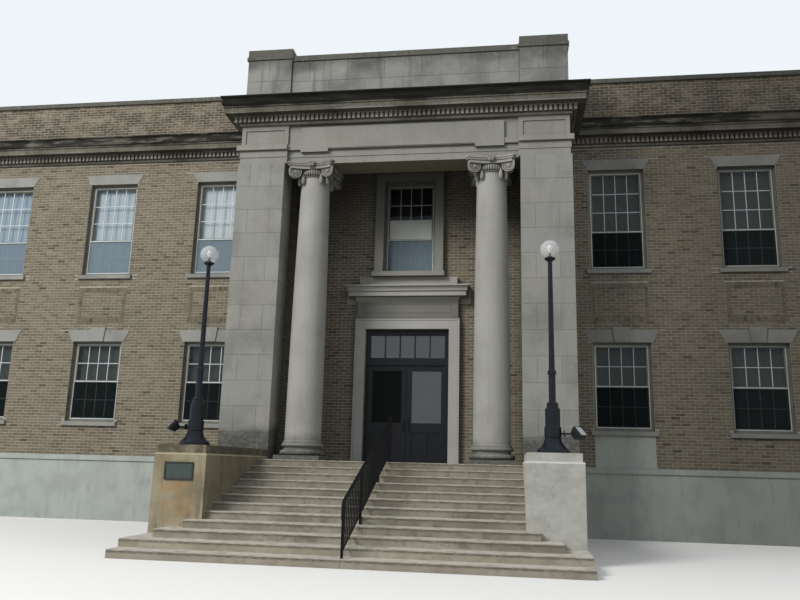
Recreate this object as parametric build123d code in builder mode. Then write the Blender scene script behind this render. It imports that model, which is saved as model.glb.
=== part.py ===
from build123d import *
import os

# A two-storey brick town hall with a stone portico, in millimetres.
# X runs along the front, +Y goes into the building and +Z is up.
# The origin is on the ground, on the centre line, in the plane of the front brick wall.

# Setting out of the walls
bay_pitch = 2890
first_bay_x = 4810
bays_per_wing = 3
side_bays = 4
side_end_pier = 1040
front_end_pier = 1175
wall_thickness = 400

# Middle of a quarter round, as shares of its depth and height
round_out = 0.707
round_in = 0.293

# Levels
step_rise = 123
step_count = 12
ground_floor_level = step_rise * step_count
upper_floor_level = 5100
roof_level = 9450
parapet_level = 10500
floor_thickness = 250
roof_thickness = 250

# Windows of the wings
window_width = 1270
lower_sill_level = 2276
lower_window_height = 1935
upper_sill_level = 5906
upper_window_height = 2392
window_reveal = 110
frame_width = 55
frame_depth = 110
sash_width = 48
sash_depth = 40
glass_thickness = 6
lower_meeting_share = 0.50
upper_meeting_share = 0.38

# Lintels and sills
lintel_depth = 120
lintel_proud = 15
lower_lintel_height = 290
lower_lintel_foot = 1360
lower_lintel_splay = 142
upper_lintel_height = 258
upper_lintel_foot = 1284
upper_lintel_splay = 145
keystone_foot = 300
keystone_head = 380
keystone_rise = 62
keystone_proud = 40
sill_height = 112
sill_width = 1420
sill_projection = 65
sill_wash = 20

# Plinth
plinth_projection = 45
water_table_height = 118
water_table_projection = 75
water_table_wash = 25

# Coping of the parapet
coping_height = 126
coping_overhang = 50
coping_fall = 18

# Main cornice, measured out from the face that it is fixed to
cornice_level = 8850
bed_height = 65
bed_projection = 60
dentil_height = 125
dentil_band_projection = 90
dentil_projection = 150
dentil_width = 62
dentil_pitch = 104
ovolo_height = 20
soffit_projection = 330
corona_height = 130
fillet_height = 35
cyma_projection = 400
cyma_height = 195
cyma_swell = 14
fillet_projection = 20
top_fillet_height = 30
cornice_projection = 420
cornice_weathering = 40
stone_joint = 3

# Portico
portico_half_width = 3685
pilaster_width = 1086
pilaster_depth = 630
portico_projection = 1873
column_x = 1978
column_y = -1445
beam_recess = 83
beam_depth = 690
architrave_level = 7953
lower_fascia_height = 155
upper_fascia_height = 160
taenia_height = 120
fascia_step = 14
taenia_projection = 44
frieze_inset = 35
end_block_overhang = 37
frieze_panel_margin = 95
frieze_panel_depth = 22
side_wall_inner_x = 2800
side_wall_outer_x = 3600
ceiling_level = 8600
ceiling_thickness = 120

# Tablet on the frieze
tablet_half_width = 2255
tablet_top = 8790
tablet_bottom = 8285
tablet_foot_bottom = 8205
tablet_foot_width = 625
tablet_projection = 62

# Columns
base_plinth_width = 960
base_plinth_height = 90
lower_torus_radius = 472
lower_torus_height = 112
scotia_radius = 418
scotia_height = 62
upper_torus_radius = 440
upper_torus_height = 80
base_fillet_radius = 412
base_fillet_height = 30
shaft_foot_radius = 385
shaft_head_radius = 318
apophyge_height = 45
shaft_entasis = 14
capital_height = 315
abacus_height = 82
abacus_half_width = 540
abacus_corner = 64
abacus_hollow = 96
abacus_fillet_inset = 16
volute_radius = 145
volute_corner = 497
volute_angle = 20
volute_thickness = 115
volute_eye_radius = 24
volute_drop = 135
volute_turns = 2
volute_band = 19
volute_relief = 14
canalis_height = 70
canalis_inset = 40
echinus_radius = 372
echinus_height = 120
astragal_radius = 340
astragal_height = 34

# Attic above the portico
attic_inset = 108
attic_pedestal_proud = 40
attic_wall_thickness = 400
attic_wall_top = 10509
attic_pedestal_top = 10560
attic_coping_height = 128
attic_cap_height = 258
attic_cap_inset = 22
attic_coping_overhang = 30

# Doorway
door_half_width = 970
door_head_level = 4500
door_leaf_top = 3672
door_frame_width = 55
door_frame_depth = 110
door_frame_setback = 10
leaf_thickness = 50
leaf_gap = 6
leaf_setback = 45
leaf_stile = 115
leaf_glass_bottom = 2360
leaf_glass_top = 3540
leaf_panel_bottom = 1610
leaf_panel_top = 2150
leaf_panel_recess = 14
leaf_panel_mullion = 60
leaf_foot_gap = 10
transom_width = 1740
transom_lights = 5
transom_bar_width = 24
transom_bottom = 3840
transom_top = 4376
pull_height = 220
pull_level = 2300
pull_radius = 11
pull_stand = 55
pull_stud_radius = 8
hinge_levels = (1760, 2580, 3400)
hinge_radius = 8
knuckle_height = 40
hinge_clearance = 0.3
hinge_notch = 1.5
surround_width = 243
surround_projection = 150
surround_band = 42
surround_recess = 12
door_frieze_half_width = 1180
door_frieze_height = 404
door_frieze_inset = 10
hood_bed_height = 95
hood_bed_projection = 57
hood_corona_projection = 190
door_block_inset = 30
hood_corona_height = 120
hood_cyma_height = 130
hood_projection = 275

# Window over the door
centre_window_width = 1220
centre_sill_level = 5850
centre_window_height = 2260
centre_surround_width = 205
centre_sill_half_width = 855
centre_sill_projection = 110

# Entrance steps and the walls beside them
step_going = 353
landing_y = -2510
steps_half_width = 2586
step_joint = 4
cheek_outer_x = 3489
cheek_front_y = -5103
cheek_ledge_level = 1534
cheek_top_level = 1671
cheek_cap_inset = 32
low_step_half_widths = (3489, 3489, 3120, 2800)

# Painted panel under one lower window
apron_width = 1280
apron_projection = 12

# Lamp posts on the cheek walls
lamp_y = -4566
lamp_globe_level = 5072
lamp_globe_radius = 166
lamp_globe_cut = 149
globe_wall = 4
lamp_flange_radius = 262
lamp_flange_height = 30
lamp_bell_radius = 248
lamp_bell_middle_radius = 160
lamp_band_bottom = 1915
lamp_band_top = 2080
lamp_band_radius = 136
lamp_barrel_radius = 120
lamp_barrel_top = 2380
lamp_neck_radius = 98
lamp_neck_top = 2440
lamp_collar_radius = 88
lamp_collar_height = 30
lamp_bead = 9
lamp_ring_level = 2940
lamp_ring_radius = 71
lamp_ring_height = 54
lamp_shaft_radius = 56
lamp_upper_radius = 48
lamp_tip_radius = 36
lamp_cup_radius = 92
lamp_cup_height = 62
lamp_cup_rim = 19

# Floodlights beside the lamp posts
flood_lens = (235, 190)
flood_back = (150, 110)
flood_depth = 150
flood_aim = (0.66, -0.38, 0.65)
flood_reach = 395
flood_level = 1985
flood_rim = 10
flood_arm_radius = 14
flood_flange_radius = 52
flood_flange_reach = 172
flood_flange_thickness = 16

# Handrail on the steps
rail_height = 755
rail_foot_y = -6280
rail_head_y = -2150
rail_post = 45
rail_bar = 18
rail_pitch = 118
rail_bottom_gap = 40
rail_top_height = 32
rail_bend_radius = 120
rail_drop = 240
rail_middle_posts = (-5000, -3450)

portico_front_y = -portico_projection
pilaster_inner_x = portico_half_width - pilaster_width
porch_wall_y = 0
half_length = first_bay_x + (bays_per_wing - 1) * bay_pitch + window_width / 2 + front_end_pier
depth = (side_bays - 1) * bay_pitch + window_width + 2 * side_end_pier
end_block_x = pilaster_inner_x - end_block_overhang
frieze_half_width = portico_half_width - frieze_inset
frieze_y = portico_front_y + frieze_inset
cornice_height = bed_height + dentil_height + ovolo_height + corona_height
cornice_height += fillet_height + cyma_height + top_fillet_height + cornice_weathering
crown_level = cornice_level + cornice_height
attic_face_y = portico_front_y + attic_inset
cheek_middle_x = (steps_half_width + cheek_outer_x) / 2

wing_centres = [first_bay_x + bay * bay_pitch for bay in range(bays_per_wing)]
front_centres = [-x for x in reversed(wing_centres)] + wing_centres
back_centres = [-x for x in reversed(wing_centres)]
back_centres += [bay_pitch - first_bay_x, first_bay_x - bay_pitch] + wing_centres
side_centres = [(bay - (side_bays - 1) / 2) * bay_pitch for bay in range(side_bays)]

# Each elevation is a plane on the ground: x along the wall, y up and z outwards.
front_face = Plane(origin=(0, 0, 0), x_dir=(1, 0, 0), z_dir=(0, -1, 0))
frieze_face = Plane(origin=(0, frieze_y, 0), x_dir=(1, 0, 0), z_dir=(0, -1, 0))
left_return = Plane(origin=(-frieze_half_width, 0, 0), x_dir=(0, -1, 0), z_dir=(-1, 0, 0))
right_return = Plane(origin=(frieze_half_width, 0, 0), x_dir=(0, 1, 0), z_dir=(1, 0, 0))
back_face = Plane(origin=(0, depth, 0), x_dir=(-1, 0, 0), z_dir=(0, 1, 0))
left_face = Plane(origin=(-half_length, depth / 2, 0), x_dir=(0, -1, 0), z_dir=(-1, 0, 0))
right_face = Plane(origin=(half_length, depth / 2, 0), x_dir=(0, 1, 0), z_dir=(1, 0, 0))
elevations = [
    (front_face, front_centres),
    (back_face, back_centres),
    (left_face, side_centres),
    (right_face, side_centres),
]

os.makedirs("parts", exist_ok=True)


def save(piece, name):
    """Labels a finished piece and writes it as its own file."""
    piece.part.label = name
    export_step(piece.part, f"parts/{name}.step")


def block(x, y, z, mode=Mode.ADD):
    """A square block between pairs of limits."""
    with Locations(((x[0] + x[1]) / 2, (y[0] + y[1]) / 2, (z[0] + z[1]) / 2)):
        Box(x[1] - x[0], y[1] - y[0], z[1] - z[0], mode=mode)


def window_places(level, walls=elevations):
    """The sill centre of every window of a storey, on every wall."""
    return [
        face.location * Location((along, level, 0))
        for face, centres in walls
        for along in centres
    ]


def run_of(profile, face, start, end, start_mitre=0, end_mitre=0):
    """A moulding along a wall, from a section sketched with x out and y up.

    A mitre of 1 is an outside corner, -1 an inside corner and 0 a square end.
    """
    reach = 1000
    along = face.x_dir
    out = face.z_dir
    first = face.from_local_coords((start, 0, 0)) + along * (stone_joint / 2)
    last = face.from_local_coords((end, 0, 0)) - along * (stone_joint / 2)
    with BuildPart() as moulding:
        with BuildSketch(Plane(origin=last + along * reach, x_dir=out, z_dir=along * -1)):
            add(profile)
        extrude(amount=end - start + 2 * reach)
        split(bisect_by=Plane(origin=first, z_dir=along + out * start_mitre), keep=Keep.TOP)
        split(bisect_by=Plane(origin=last, z_dir=out * end_mitre - along), keep=Keep.TOP)
    return moulding.part


# Base of the building

def plinth_profile():
    """Plain plinth wall with a weathered water table along its top."""
    band = ground_floor_level - water_table_height
    with BuildSketch() as profile:
        with BuildLine():
            Polyline(
                (-wall_thickness, 0),
                (plinth_projection, 0),
                (plinth_projection, band),
                (water_table_projection, band),
                (water_table_projection, ground_floor_level - water_table_wash),
                (0, ground_floor_level),
                (-wall_thickness, ground_floor_level),
                close=True,
            )
        make_face()
    return profile.sketch


plinth_section = plinth_profile()

with BuildPart() as front_plinth:
    add(run_of(plinth_section, front_face, -half_length, -portico_half_width, start_mitre=1))
    add(run_of(plinth_section, front_face, portico_half_width, half_length, end_mitre=1))
save(front_plinth, "front_plinth")

with BuildPart() as back_plinth:
    add(run_of(plinth_section, back_face, -half_length, half_length, 1, 1))
save(back_plinth, "back_plinth")

with BuildPart() as side_plinths:
    add(run_of(plinth_section, left_face, -depth / 2, depth / 2, 1, 1))
    add(run_of(plinth_section, right_face, -depth / 2, depth / 2, 1, 1))
save(side_plinths, "side_plinths")

with BuildPart() as porch_base:
    with BuildSketch():
        with BuildLine():
            Polyline(
                (-steps_half_width, landing_y),
                (steps_half_width, landing_y),
                (steps_half_width, portico_front_y),
                (portico_half_width, portico_front_y),
                (portico_half_width, wall_thickness),
                (-portico_half_width, wall_thickness),
                (-portico_half_width, portico_front_y),
                (-steps_half_width, portico_front_y),
                close=True,
            )
        make_face()
    extrude(amount=ground_floor_level)
save(porch_base, "porch_base")

steps_front_y = landing_y - (step_count - 1) * step_going

with BuildPart() as entrance_steps:
    for side in (-1, 1):
        inner = step_joint / 2
        with BuildSketch(Plane.YZ.offset(side * inner)):
            with BuildLine():
                corners = [(landing_y, 0), (steps_front_y, 0)]
                for step in range(step_count - 1):
                    nosing_y = steps_front_y + step * step_going
                    corners.append((nosing_y, (step + 1) * step_rise))
                    corners.append((nosing_y + step_going, (step + 1) * step_rise))
                Polyline(*corners, close=True)
            make_face()
        extrude(amount=side * (steps_half_width - inner))
        for step, half_width in enumerate(low_step_half_widths):
            nosing_y = steps_front_y + step * step_going
            ends = sorted((side * steps_half_width, side * half_width))
            block(ends, (nosing_y, cheek_front_y), (0, (step + 1) * step_rise))
save(entrance_steps, "entrance_steps")

with BuildPart() as cheek_walls:
    for side in (-1, 1):
        ends = sorted((side * steps_half_width, side * cheek_outer_x))
        block(ends, (cheek_front_y, portico_front_y), (0, cheek_ledge_level))
        inset = [ends[0] + cheek_cap_inset, ends[1] - cheek_cap_inset]
        run = (cheek_front_y + cheek_cap_inset, portico_front_y)
        block(inset, run, (cheek_ledge_level, cheek_top_level))
save(cheek_walls, "cheek_walls")


# Openings, lintels and sills, drawn once on a plane at the sill line with z outwards

def lintel_outline(foot, splay, height):
    """Flat arch of stone with splayed ends."""
    head = foot + 2 * splay
    Polygon((-foot / 2, 0), (foot / 2, 0), (head / 2, height), (-head / 2, height), align=None)


def lintel(foot, splay, height, window_height, keystone):
    with BuildPart() as stone:
        with BuildSketch(Plane.XY.offset(-lintel_depth)):
            with Locations((0, window_height)):
                lintel_outline(foot, splay, height)
        extrude(amount=lintel_depth + lintel_proud)
        if keystone:
            keystone_splay = (keystone_head - keystone_foot) / 2
            with BuildSketch(Plane.XY.offset(-lintel_depth)):
                with Locations((0, window_height)):
                    lintel_outline(keystone_foot, keystone_splay, height + keystone_rise)
            extrude(amount=lintel_depth + keystone_proud)
    return stone.part


def sill():
    with BuildPart() as stone:
        with BuildSketch(Plane.YZ.offset(-sill_width / 2)):
            with BuildLine():
                Polyline(
                    (0, -window_reveal),
                    (0, 0),
                    (-sill_wash, sill_projection),
                    (-sill_height, sill_projection),
                    (-sill_height, -window_reveal),
                    close=True,
                )
            make_face()
        extrude(amount=sill_width)
    return stone.part


def window_hole(window_height):
    """What is cut from a wall for a window, with its sill's seat."""
    through = (-2 * wall_thickness, wall_thickness)
    with BuildPart() as hole:
        block((-window_width / 2, window_width / 2), (0, window_height), through)
        block((-sill_width / 2, sill_width / 2), (-sill_height, 0), (-window_reveal, wall_thickness))
    return hole.part


lower_lintel = lintel(lower_lintel_foot, lower_lintel_splay, lower_lintel_height, lower_window_height, True)
upper_lintel = lintel(upper_lintel_foot, upper_lintel_splay, upper_lintel_height, upper_window_height, False)
window_sill = sill()
lower_hole = window_hole(lower_window_height)
upper_hole = window_hole(upper_window_height)

with BuildPart() as window_lintels:
    with Locations(*window_places(lower_sill_level)):
        add(lower_lintel)
    with Locations(*window_places(upper_sill_level)):
        add(upper_lintel)
save(window_lintels, "window_lintels")

with BuildPart() as window_sills:
    with Locations(*window_places(lower_sill_level)):
        add(window_sill)
    with Locations(*window_places(upper_sill_level)):
        add(window_sill)
save(window_sills, "window_sills")


# Brick walls with their windows cut through

def cut_windows(walls):
    """Cuts both storeys of windows and the seats of their stones."""
    with Locations(*window_places(lower_sill_level, walls)):
        add(lower_hole, mode=Mode.SUBTRACT)
        add(lower_lintel, mode=Mode.SUBTRACT)
    with Locations(*window_places(upper_sill_level, walls)):
        add(upper_hole, mode=Mode.SUBTRACT)
        add(upper_lintel, mode=Mode.SUBTRACT)


wall_levels = (ground_floor_level, parapet_level)

with BuildPart() as front_wing_walls:
    block((-half_length, -portico_half_width), (0, wall_thickness), wall_levels)
    block((portico_half_width, half_length), (0, wall_thickness), wall_levels)
    cut_windows([(front_face, front_centres)])
save(front_wing_walls, "front_wing_walls")

with BuildPart() as back_wall:
    block((-half_length, half_length), (depth - wall_thickness, depth), wall_levels)
    cut_windows([(back_face, back_centres)])
save(back_wall, "back_wall")

inner_run = (wall_thickness, depth - wall_thickness)

with BuildPart() as side_walls:
    block((-half_length, wall_thickness - half_length), inner_run, wall_levels)
    block((half_length - wall_thickness, half_length), inner_run, wall_levels)
    cut_windows([(left_face, side_centres), (right_face, side_centres)])
save(side_walls, "side_walls")

porch_wall_run = (porch_wall_y, wall_thickness)

with BuildPart() as walls_beside_door:
    block((-portico_half_width, -door_half_width), porch_wall_run, wall_levels)
    block((door_half_width, portico_half_width), porch_wall_run, wall_levels)
save(walls_beside_door, "walls_beside_door")

with BuildPart() as wall_over_door:
    with BuildSketch(front_face):
        with Locations((0, (door_head_level + parapet_level) / 2)):
            Rectangle(2 * door_half_width, parapet_level - door_head_level)
        with Locations((0, centre_sill_level + centre_window_height / 2)):
            Rectangle(centre_window_width, centre_window_height, mode=Mode.SUBTRACT)
    extrude(amount=-wall_thickness)
save(wall_over_door, "wall_over_door")

porch_levels = (ground_floor_level, architrave_level)

with BuildPart() as porch_side_walls:
    for side in (-1, 1):
        ends = sorted((side * side_wall_inner_x, side * side_wall_outer_x))
        block(ends, (portico_front_y + pilaster_depth, porch_wall_y), porch_levels)
save(porch_side_walls, "porch_side_walls")


# Floors and roof

floor_x = (wall_thickness - half_length, half_length - wall_thickness)

for name, top, thickness in (
    ("ground_floor", ground_floor_level, floor_thickness),
    ("upper_floor", upper_floor_level, floor_thickness),
    ("roof_deck", roof_level, roof_thickness),
):
    with BuildPart() as slab:
        block(floor_x, inner_run, (top - thickness, top))
    save(slab, name)


# Cornices and coping

def cornice_profile():
    """Bed mould, dentil band, soffit, corona and cyma, from the face outwards."""
    dentil_foot = cornice_level + bed_height
    soffit = dentil_foot + dentil_height + ovolo_height
    corona_top = soffit + corona_height
    cyma_foot = corona_top + fillet_height
    cyma_top = cyma_foot + cyma_height
    cyma_start = soffit_projection + fillet_projection
    middle = ((cyma_start + cyma_projection) / 2, (cyma_foot + cyma_top) / 2)
    crown = cyma_top + top_fillet_height
    with BuildSketch() as profile:
        with BuildLine():
            Polyline(
                (cyma_projection, cyma_top),
                (cornice_projection, cyma_top),
                (cornice_projection, crown),
                (0, crown + cornice_weathering),
            )
            Line((0, crown + cornice_weathering), (0, cornice_level))
            ThreePointArc(
                (0, cornice_level),
                (bed_projection * round_out, cornice_level + bed_height * round_in),
                (bed_projection, dentil_foot),
            )
            Polyline(
                (bed_projection, dentil_foot),
                (dentil_band_projection, dentil_foot),
                (dentil_band_projection, dentil_foot + dentil_height),
                (dentil_projection, dentil_foot + dentil_height),
                (dentil_projection + ovolo_height, soffit),
                (soffit_projection, soffit),
                (soffit_projection, corona_top),
                (cyma_start, corona_top),
                (cyma_start, cyma_foot),
            )
            ThreePointArc(
                (cyma_start, cyma_foot),
                (middle[0] + cyma_swell, middle[1] - cyma_height / 4),
                middle,
            )
            ThreePointArc(
                middle,
                (middle[0] - cyma_swell / 3, middle[1] + cyma_height / 4),
                (cyma_projection, cyma_top),
            )
        make_face()
    return profile.sketch


def dentil_comb(start, end, start_mitre, end_mitre):
    """Plan of a row of dentils, joined at the back, with x along the wall and y out.

    A corner dentil is cut on the mitre, and an inside corner has none.
    """
    back = (bed_projection + dentil_band_projection) / 2
    corner_gap = dentil_projection + dentil_pitch - dentil_width
    first = start + stone_joint - (dentil_projection if start_mitre > 0 else -corner_gap)
    last = end - stone_joint + (dentil_projection if end_mitre > 0 else -corner_gap)
    first_back = first + (dentil_projection - back if start_mitre > 0 else 0)
    last_back = last - (dentil_projection - back if end_mitre > 0 else 0)
    count = round((last - first - dentil_width) / dentil_pitch)
    pitch = (last - first - dentil_width) / count
    corners = [(first_back, back), (first, dentil_projection)]
    for dentil in range(count):
        edge = first + dentil * pitch
        corners.append((edge + dentil_width, dentil_projection))
        corners.append((edge + dentil_width, dentil_band_projection))
        corners.append((edge + pitch, dentil_band_projection))
        corners.append((edge + pitch, dentil_projection))
    corners.append((last, dentil_projection))
    corners.append((last_back, back))
    with BuildSketch() as comb:
        with BuildLine():
            Polyline(*corners, close=True)
        make_face()
    return comb.sketch


def cornice_run(face, *run):
    """The cornice along a wall, with its dentils, mitred at both ends."""
    level = face.origin + Vector(0, 0, cornice_level + bed_height)
    with BuildPart() as stones:
        with BuildSketch(Plane(origin=level, x_dir=face.x_dir, z_dir=(0, 0, -1))):
            add(dentil_comb(*run))
        extrude(amount=-dentil_height)
        add(run_of(wing_cornice, face, *run))
    return stones.part


def coping_profile(front_overhang):
    shoulder = parapet_level + coping_height - coping_fall
    with BuildSketch() as profile:
        with BuildLine():
            Polyline(
                (-wall_thickness - coping_overhang, parapet_level),
                (front_overhang, parapet_level),
                (front_overhang, shoulder),
                (-wall_thickness / 2, parapet_level + coping_height),
                (-wall_thickness - coping_overhang, shoulder),
                close=True,
            )
        make_face()
    return profile.sketch


wing_cornice = cornice_profile()
coping_section = coping_profile(coping_overhang)

with BuildPart() as wing_cornices:
    add(
        [
            cornice_run(front_face, -half_length, -frieze_half_width, 1, -1),
            cornice_run(front_face, frieze_half_width, half_length, -1, 1),
            cornice_run(back_face, -half_length, half_length, 1, 1),
            cornice_run(left_face, -depth / 2, depth / 2, 1, 1),
            cornice_run(right_face, -depth / 2, depth / 2, 1, 1),
        ]
    )
save(wing_cornices, "wing_cornices")

with BuildPart() as parapet_coping:
    add(run_of(coping_section, front_face, -half_length, -portico_half_width, start_mitre=1))
    add(run_of(coping_section, front_face, portico_half_width, half_length, end_mitre=1))
    add(run_of(coping_profile(0), front_face, -portico_half_width, portico_half_width))
    add(run_of(coping_section, back_face, -half_length, half_length, 1, 1))
    add(run_of(coping_section, left_face, -depth / 2, depth / 2, 1, 1))
    add(run_of(coping_section, right_face, -depth / 2, depth / 2, 1, 1))
save(parapet_coping, "parapet_coping")


# Portico piers and entablature

with BuildPart() as pilasters:
    for side in (-1, 1):
        ends = sorted((side * pilaster_inner_x, side * portico_half_width))
        block(ends, (portico_front_y, portico_front_y + pilaster_depth), porch_levels)
save(pilasters, "pilasters")

taenia_level = architrave_level + lower_fascia_height + upper_fascia_height
frieze_level = taenia_level + taenia_height


def fasciae(x, y, back):
    """Two fasciae that step out and a taenia, round a stone with its back at one side."""
    courses = (
        (-2 * fascia_step, architrave_level, lower_fascia_height),
        (-fascia_step, architrave_level + lower_fascia_height, upper_fascia_height),
        (taenia_projection, taenia_level, taenia_height),
    )
    for grow, level, height in courses:
        left = x[0] - grow * back[0]
        right = x[1] + grow * back[1]
        block((left, right), (y[0] - grow, y[1]), (level, level + height))


with BuildPart() as architrave:
    beam_y = (portico_front_y + beam_recess, portico_front_y + beam_recess + beam_depth)
    fasciae((-end_block_x, end_block_x), beam_y, (0, 0))
save(architrave, "architrave")

with BuildPart() as architrave_ends:
    for side in (-1, 1):
        ends = sorted((side * end_block_x, side * portico_half_width))
        fasciae(ends, (portico_front_y, porch_wall_y), (side < 0, side > 0))
save(architrave_ends, "architrave_ends")


def raised_tablet():
    """Bare tablet over the middle bay, with a deeper foot over each column."""
    foot_x = tablet_half_width - tablet_foot_width
    with BuildSketch() as outline:
        with BuildLine():
            Polyline(
                (-tablet_half_width, tablet_top),
                (tablet_half_width, tablet_top),
                (tablet_half_width, tablet_foot_bottom),
                (foot_x, tablet_foot_bottom),
                (foot_x, tablet_bottom),
                (-foot_x, tablet_bottom),
                (-foot_x, tablet_foot_bottom),
                (-tablet_half_width, tablet_foot_bottom),
                close=True,
            )
        make_face()
    return outline.sketch


beam_face = Plane(origin=(0, portico_front_y + beam_recess, 0), x_dir=(1, 0, 0), z_dir=(0, -1, 0))
tablet_outline = raised_tablet()

with BuildPart() as frieze:
    block((-end_block_x, end_block_x), beam_y, (frieze_level, cornice_level))
save(frieze, "frieze")

with BuildPart() as frieze_tablet:
    with BuildSketch(beam_face):
        add(tablet_outline)
    extrude(amount=tablet_projection)
    add(architrave.part, mode=Mode.SUBTRACT)
save(frieze_tablet, "frieze_tablet")

with BuildPart() as frieze_ends:
    for side in (-1, 1):
        ends = sorted((side * end_block_x, side * frieze_half_width))
        block(ends, (frieze_y, porch_wall_y), (frieze_level, cornice_level))
        panel_x = (ends[0] + frieze_panel_margin, ends[1] - frieze_panel_margin)
        panel_z = (frieze_level + frieze_panel_margin / 2, cornice_level - frieze_panel_margin)
        block(panel_x, (frieze_y, frieze_y + frieze_panel_depth), panel_z, Mode.SUBTRACT)
save(frieze_ends, "frieze_ends")

with BuildPart() as porch_ceiling:
    ceiling_y = (portico_front_y + beam_recess + beam_depth, porch_wall_y)
    block((-end_block_x, end_block_x), ceiling_y, (ceiling_level, ceiling_level + ceiling_thickness))
save(porch_ceiling, "porch_ceiling")

with BuildPart() as porch_roof:
    block((-frieze_half_width, frieze_half_width), (frieze_y, porch_wall_y), (cornice_level, crown_level))
    loft_levels = (cornice_level, crown_level - roof_thickness)
    block((-end_block_x, end_block_x), ceiling_y, loft_levels, Mode.SUBTRACT)
save(porch_roof, "porch_roof")

with BuildPart() as porch_cornice:
    add(
        [
            cornice_run(frieze_face, -frieze_half_width, frieze_half_width, 1, 1),
            cornice_run(left_return, 0, -frieze_y, -1, 1),
            cornice_run(right_return, frieze_y, 0, 1, -1),
        ]
    )
save(porch_cornice, "porch_cornice")


# Columns

base_top = ground_floor_level + base_plinth_height + lower_torus_height + scotia_height
base_top += upper_torus_height + base_fillet_height
capital_foot = architrave_level - capital_height
column_places = [(-column_x, column_y), (column_x, column_y)]

with BuildPart() as base_stone:
    with BuildSketch(Plane.XY.offset(ground_floor_level)):
        Rectangle(base_plinth_width, base_plinth_width)
    extrude(amount=base_plinth_height)
    with BuildSketch(Plane.XZ):
        torus_foot = ground_floor_level + base_plinth_height
        scotia_foot = torus_foot + lower_torus_height
        upper_foot = scotia_foot + scotia_height
        fillet_foot = upper_foot + upper_torus_height
        lower_edge = lower_torus_radius - lower_torus_height / 2
        upper_edge = upper_torus_radius - upper_torus_height / 2
        with BuildLine():
            Line((0, torus_foot), (lower_edge, torus_foot))
            ThreePointArc(
                (lower_edge, torus_foot),
                (lower_torus_radius, torus_foot + lower_torus_height / 2),
                (lower_edge, scotia_foot),
            )
            ThreePointArc(
                (lower_edge, scotia_foot),
                (scotia_radius - scotia_height / 2, scotia_foot + scotia_height / 2),
                (upper_edge, upper_foot),
            )
            ThreePointArc(
                (upper_edge, upper_foot),
                (upper_torus_radius, upper_foot + upper_torus_height / 2),
                (upper_edge, fillet_foot),
            )
            Polyline(
                (upper_edge, fillet_foot),
                (base_fillet_radius, fillet_foot),
                (base_fillet_radius, base_top),
                (0, base_top),
                (0, torus_foot),
            )
        make_face()
    revolve(axis=Axis.Z)

with BuildPart() as column_bases:
    with Locations(*column_places):
        add(base_stone.part)
save(column_bases, "column_bases")

with BuildPart() as shaft_stone:
    with BuildSketch(Plane.XZ):
        entasis_foot = base_top + apophyge_height
        entasis_head = capital_foot - apophyge_height
        entasis_radius = (shaft_foot_radius + shaft_head_radius) / 2 + shaft_entasis
        flare = base_fillet_radius - apophyge_height / 5
        with BuildLine():
            Line((0, base_top), (flare, base_top))
            ThreePointArc(
                (flare, base_top),
                (
                    shaft_foot_radius + (flare - shaft_foot_radius) * round_in,
                    base_top + apophyge_height * round_in,
                ),
                (shaft_foot_radius, entasis_foot),
            )
            ThreePointArc(
                (shaft_foot_radius, entasis_foot),
                (entasis_radius, (entasis_foot + entasis_head) / 2),
                (shaft_head_radius, entasis_head),
            )
            Polyline(
                (shaft_head_radius, entasis_head),
                (shaft_head_radius, capital_foot),
                (0, capital_foot),
                (0, base_top),
            )
        make_face()
    revolve(axis=Axis.Z)

with BuildPart() as column_shafts:
    with Locations(*column_places):
        add(shaft_stone.part)
save(column_shafts, "column_shafts")

volute_level = capital_foot + capital_height - abacus_height - volute_drop
abacus_foot = architrave_level - abacus_height


def abacus_outline(half_width):
    """Square with cut corners and four hollow sides."""
    corner = half_width - abacus_corner
    hollow = half_width - abacus_hollow
    with BuildSketch() as outline:
        with BuildLine():
            for turn in range(4):
                with BuildLine(Plane.XY.rotated((0, 0, 90 * turn))) as edge:
                    ThreePointArc((-corner, -half_width), (0, -hollow), (corner, -half_width))
                    Line((corner, -half_width), (half_width, -corner))
                add(edge.line)
        make_face()
    return outline.sketch


def spiral_point(angle, radius, end_radius):
    """A point of the volute, from over its middle, as it shrinks evenly to its end."""
    share = angle / (360 * volute_turns)
    return Vector(0, radius + (end_radius - radius) * share).rotate(Axis.Z, -angle)


def spiral_band():
    """Raised rim of a volute, the band that winds in from it and the eye."""
    angles = [45 * step for step in range(8 * volute_turns + 1)]
    rim = volute_radius - volute_band / 2
    outer = [spiral_point(angle, rim, volute_eye_radius + volute_band / 2) for angle in angles]
    inner = [spiral_point(angle, rim - volute_band, volute_eye_radius) for angle in angles]
    with BuildSketch() as outline:
        Circle(volute_radius)
        Circle(volute_radius - volute_band, mode=Mode.SUBTRACT)
        with BuildLine():
            Spline(*outer)
            Line(outer[-1], inner[-1])
            Spline(*inner)
            Line(inner[0], outer[0])
        make_face()
        Circle(volute_eye_radius + volute_band / 3)
    return outline.sketch


diagonal = Plane(origin=(0, 0, 0), x_dir=(0, 0, 1), z_dir=(1, 1, 0))
volute_outward = Vector(1, 0, 0).rotate(Axis.Z, -volute_angle)
volute_edge = Vector(volute_corner, -volute_corner, volute_level)
volute_plane = Plane(
    origin=volute_edge - volute_outward * volute_radius,
    x_dir=volute_outward,
    z_dir=Vector(0, -1, 0).rotate(Axis.Z, -volute_angle),
)

with BuildPart() as corner_volute:
    with BuildSketch(volute_plane.offset(-volute_relief)):
        Circle(volute_radius)
    extrude(amount=volute_relief - volute_thickness)
    with BuildSketch(volute_plane.offset(-volute_relief)):
        add(spiral_band())
    extrude(amount=volute_relief)
    split(bisect_by=diagonal, keep=Keep.BOTTOM)
    mirror(about=diagonal)

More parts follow.
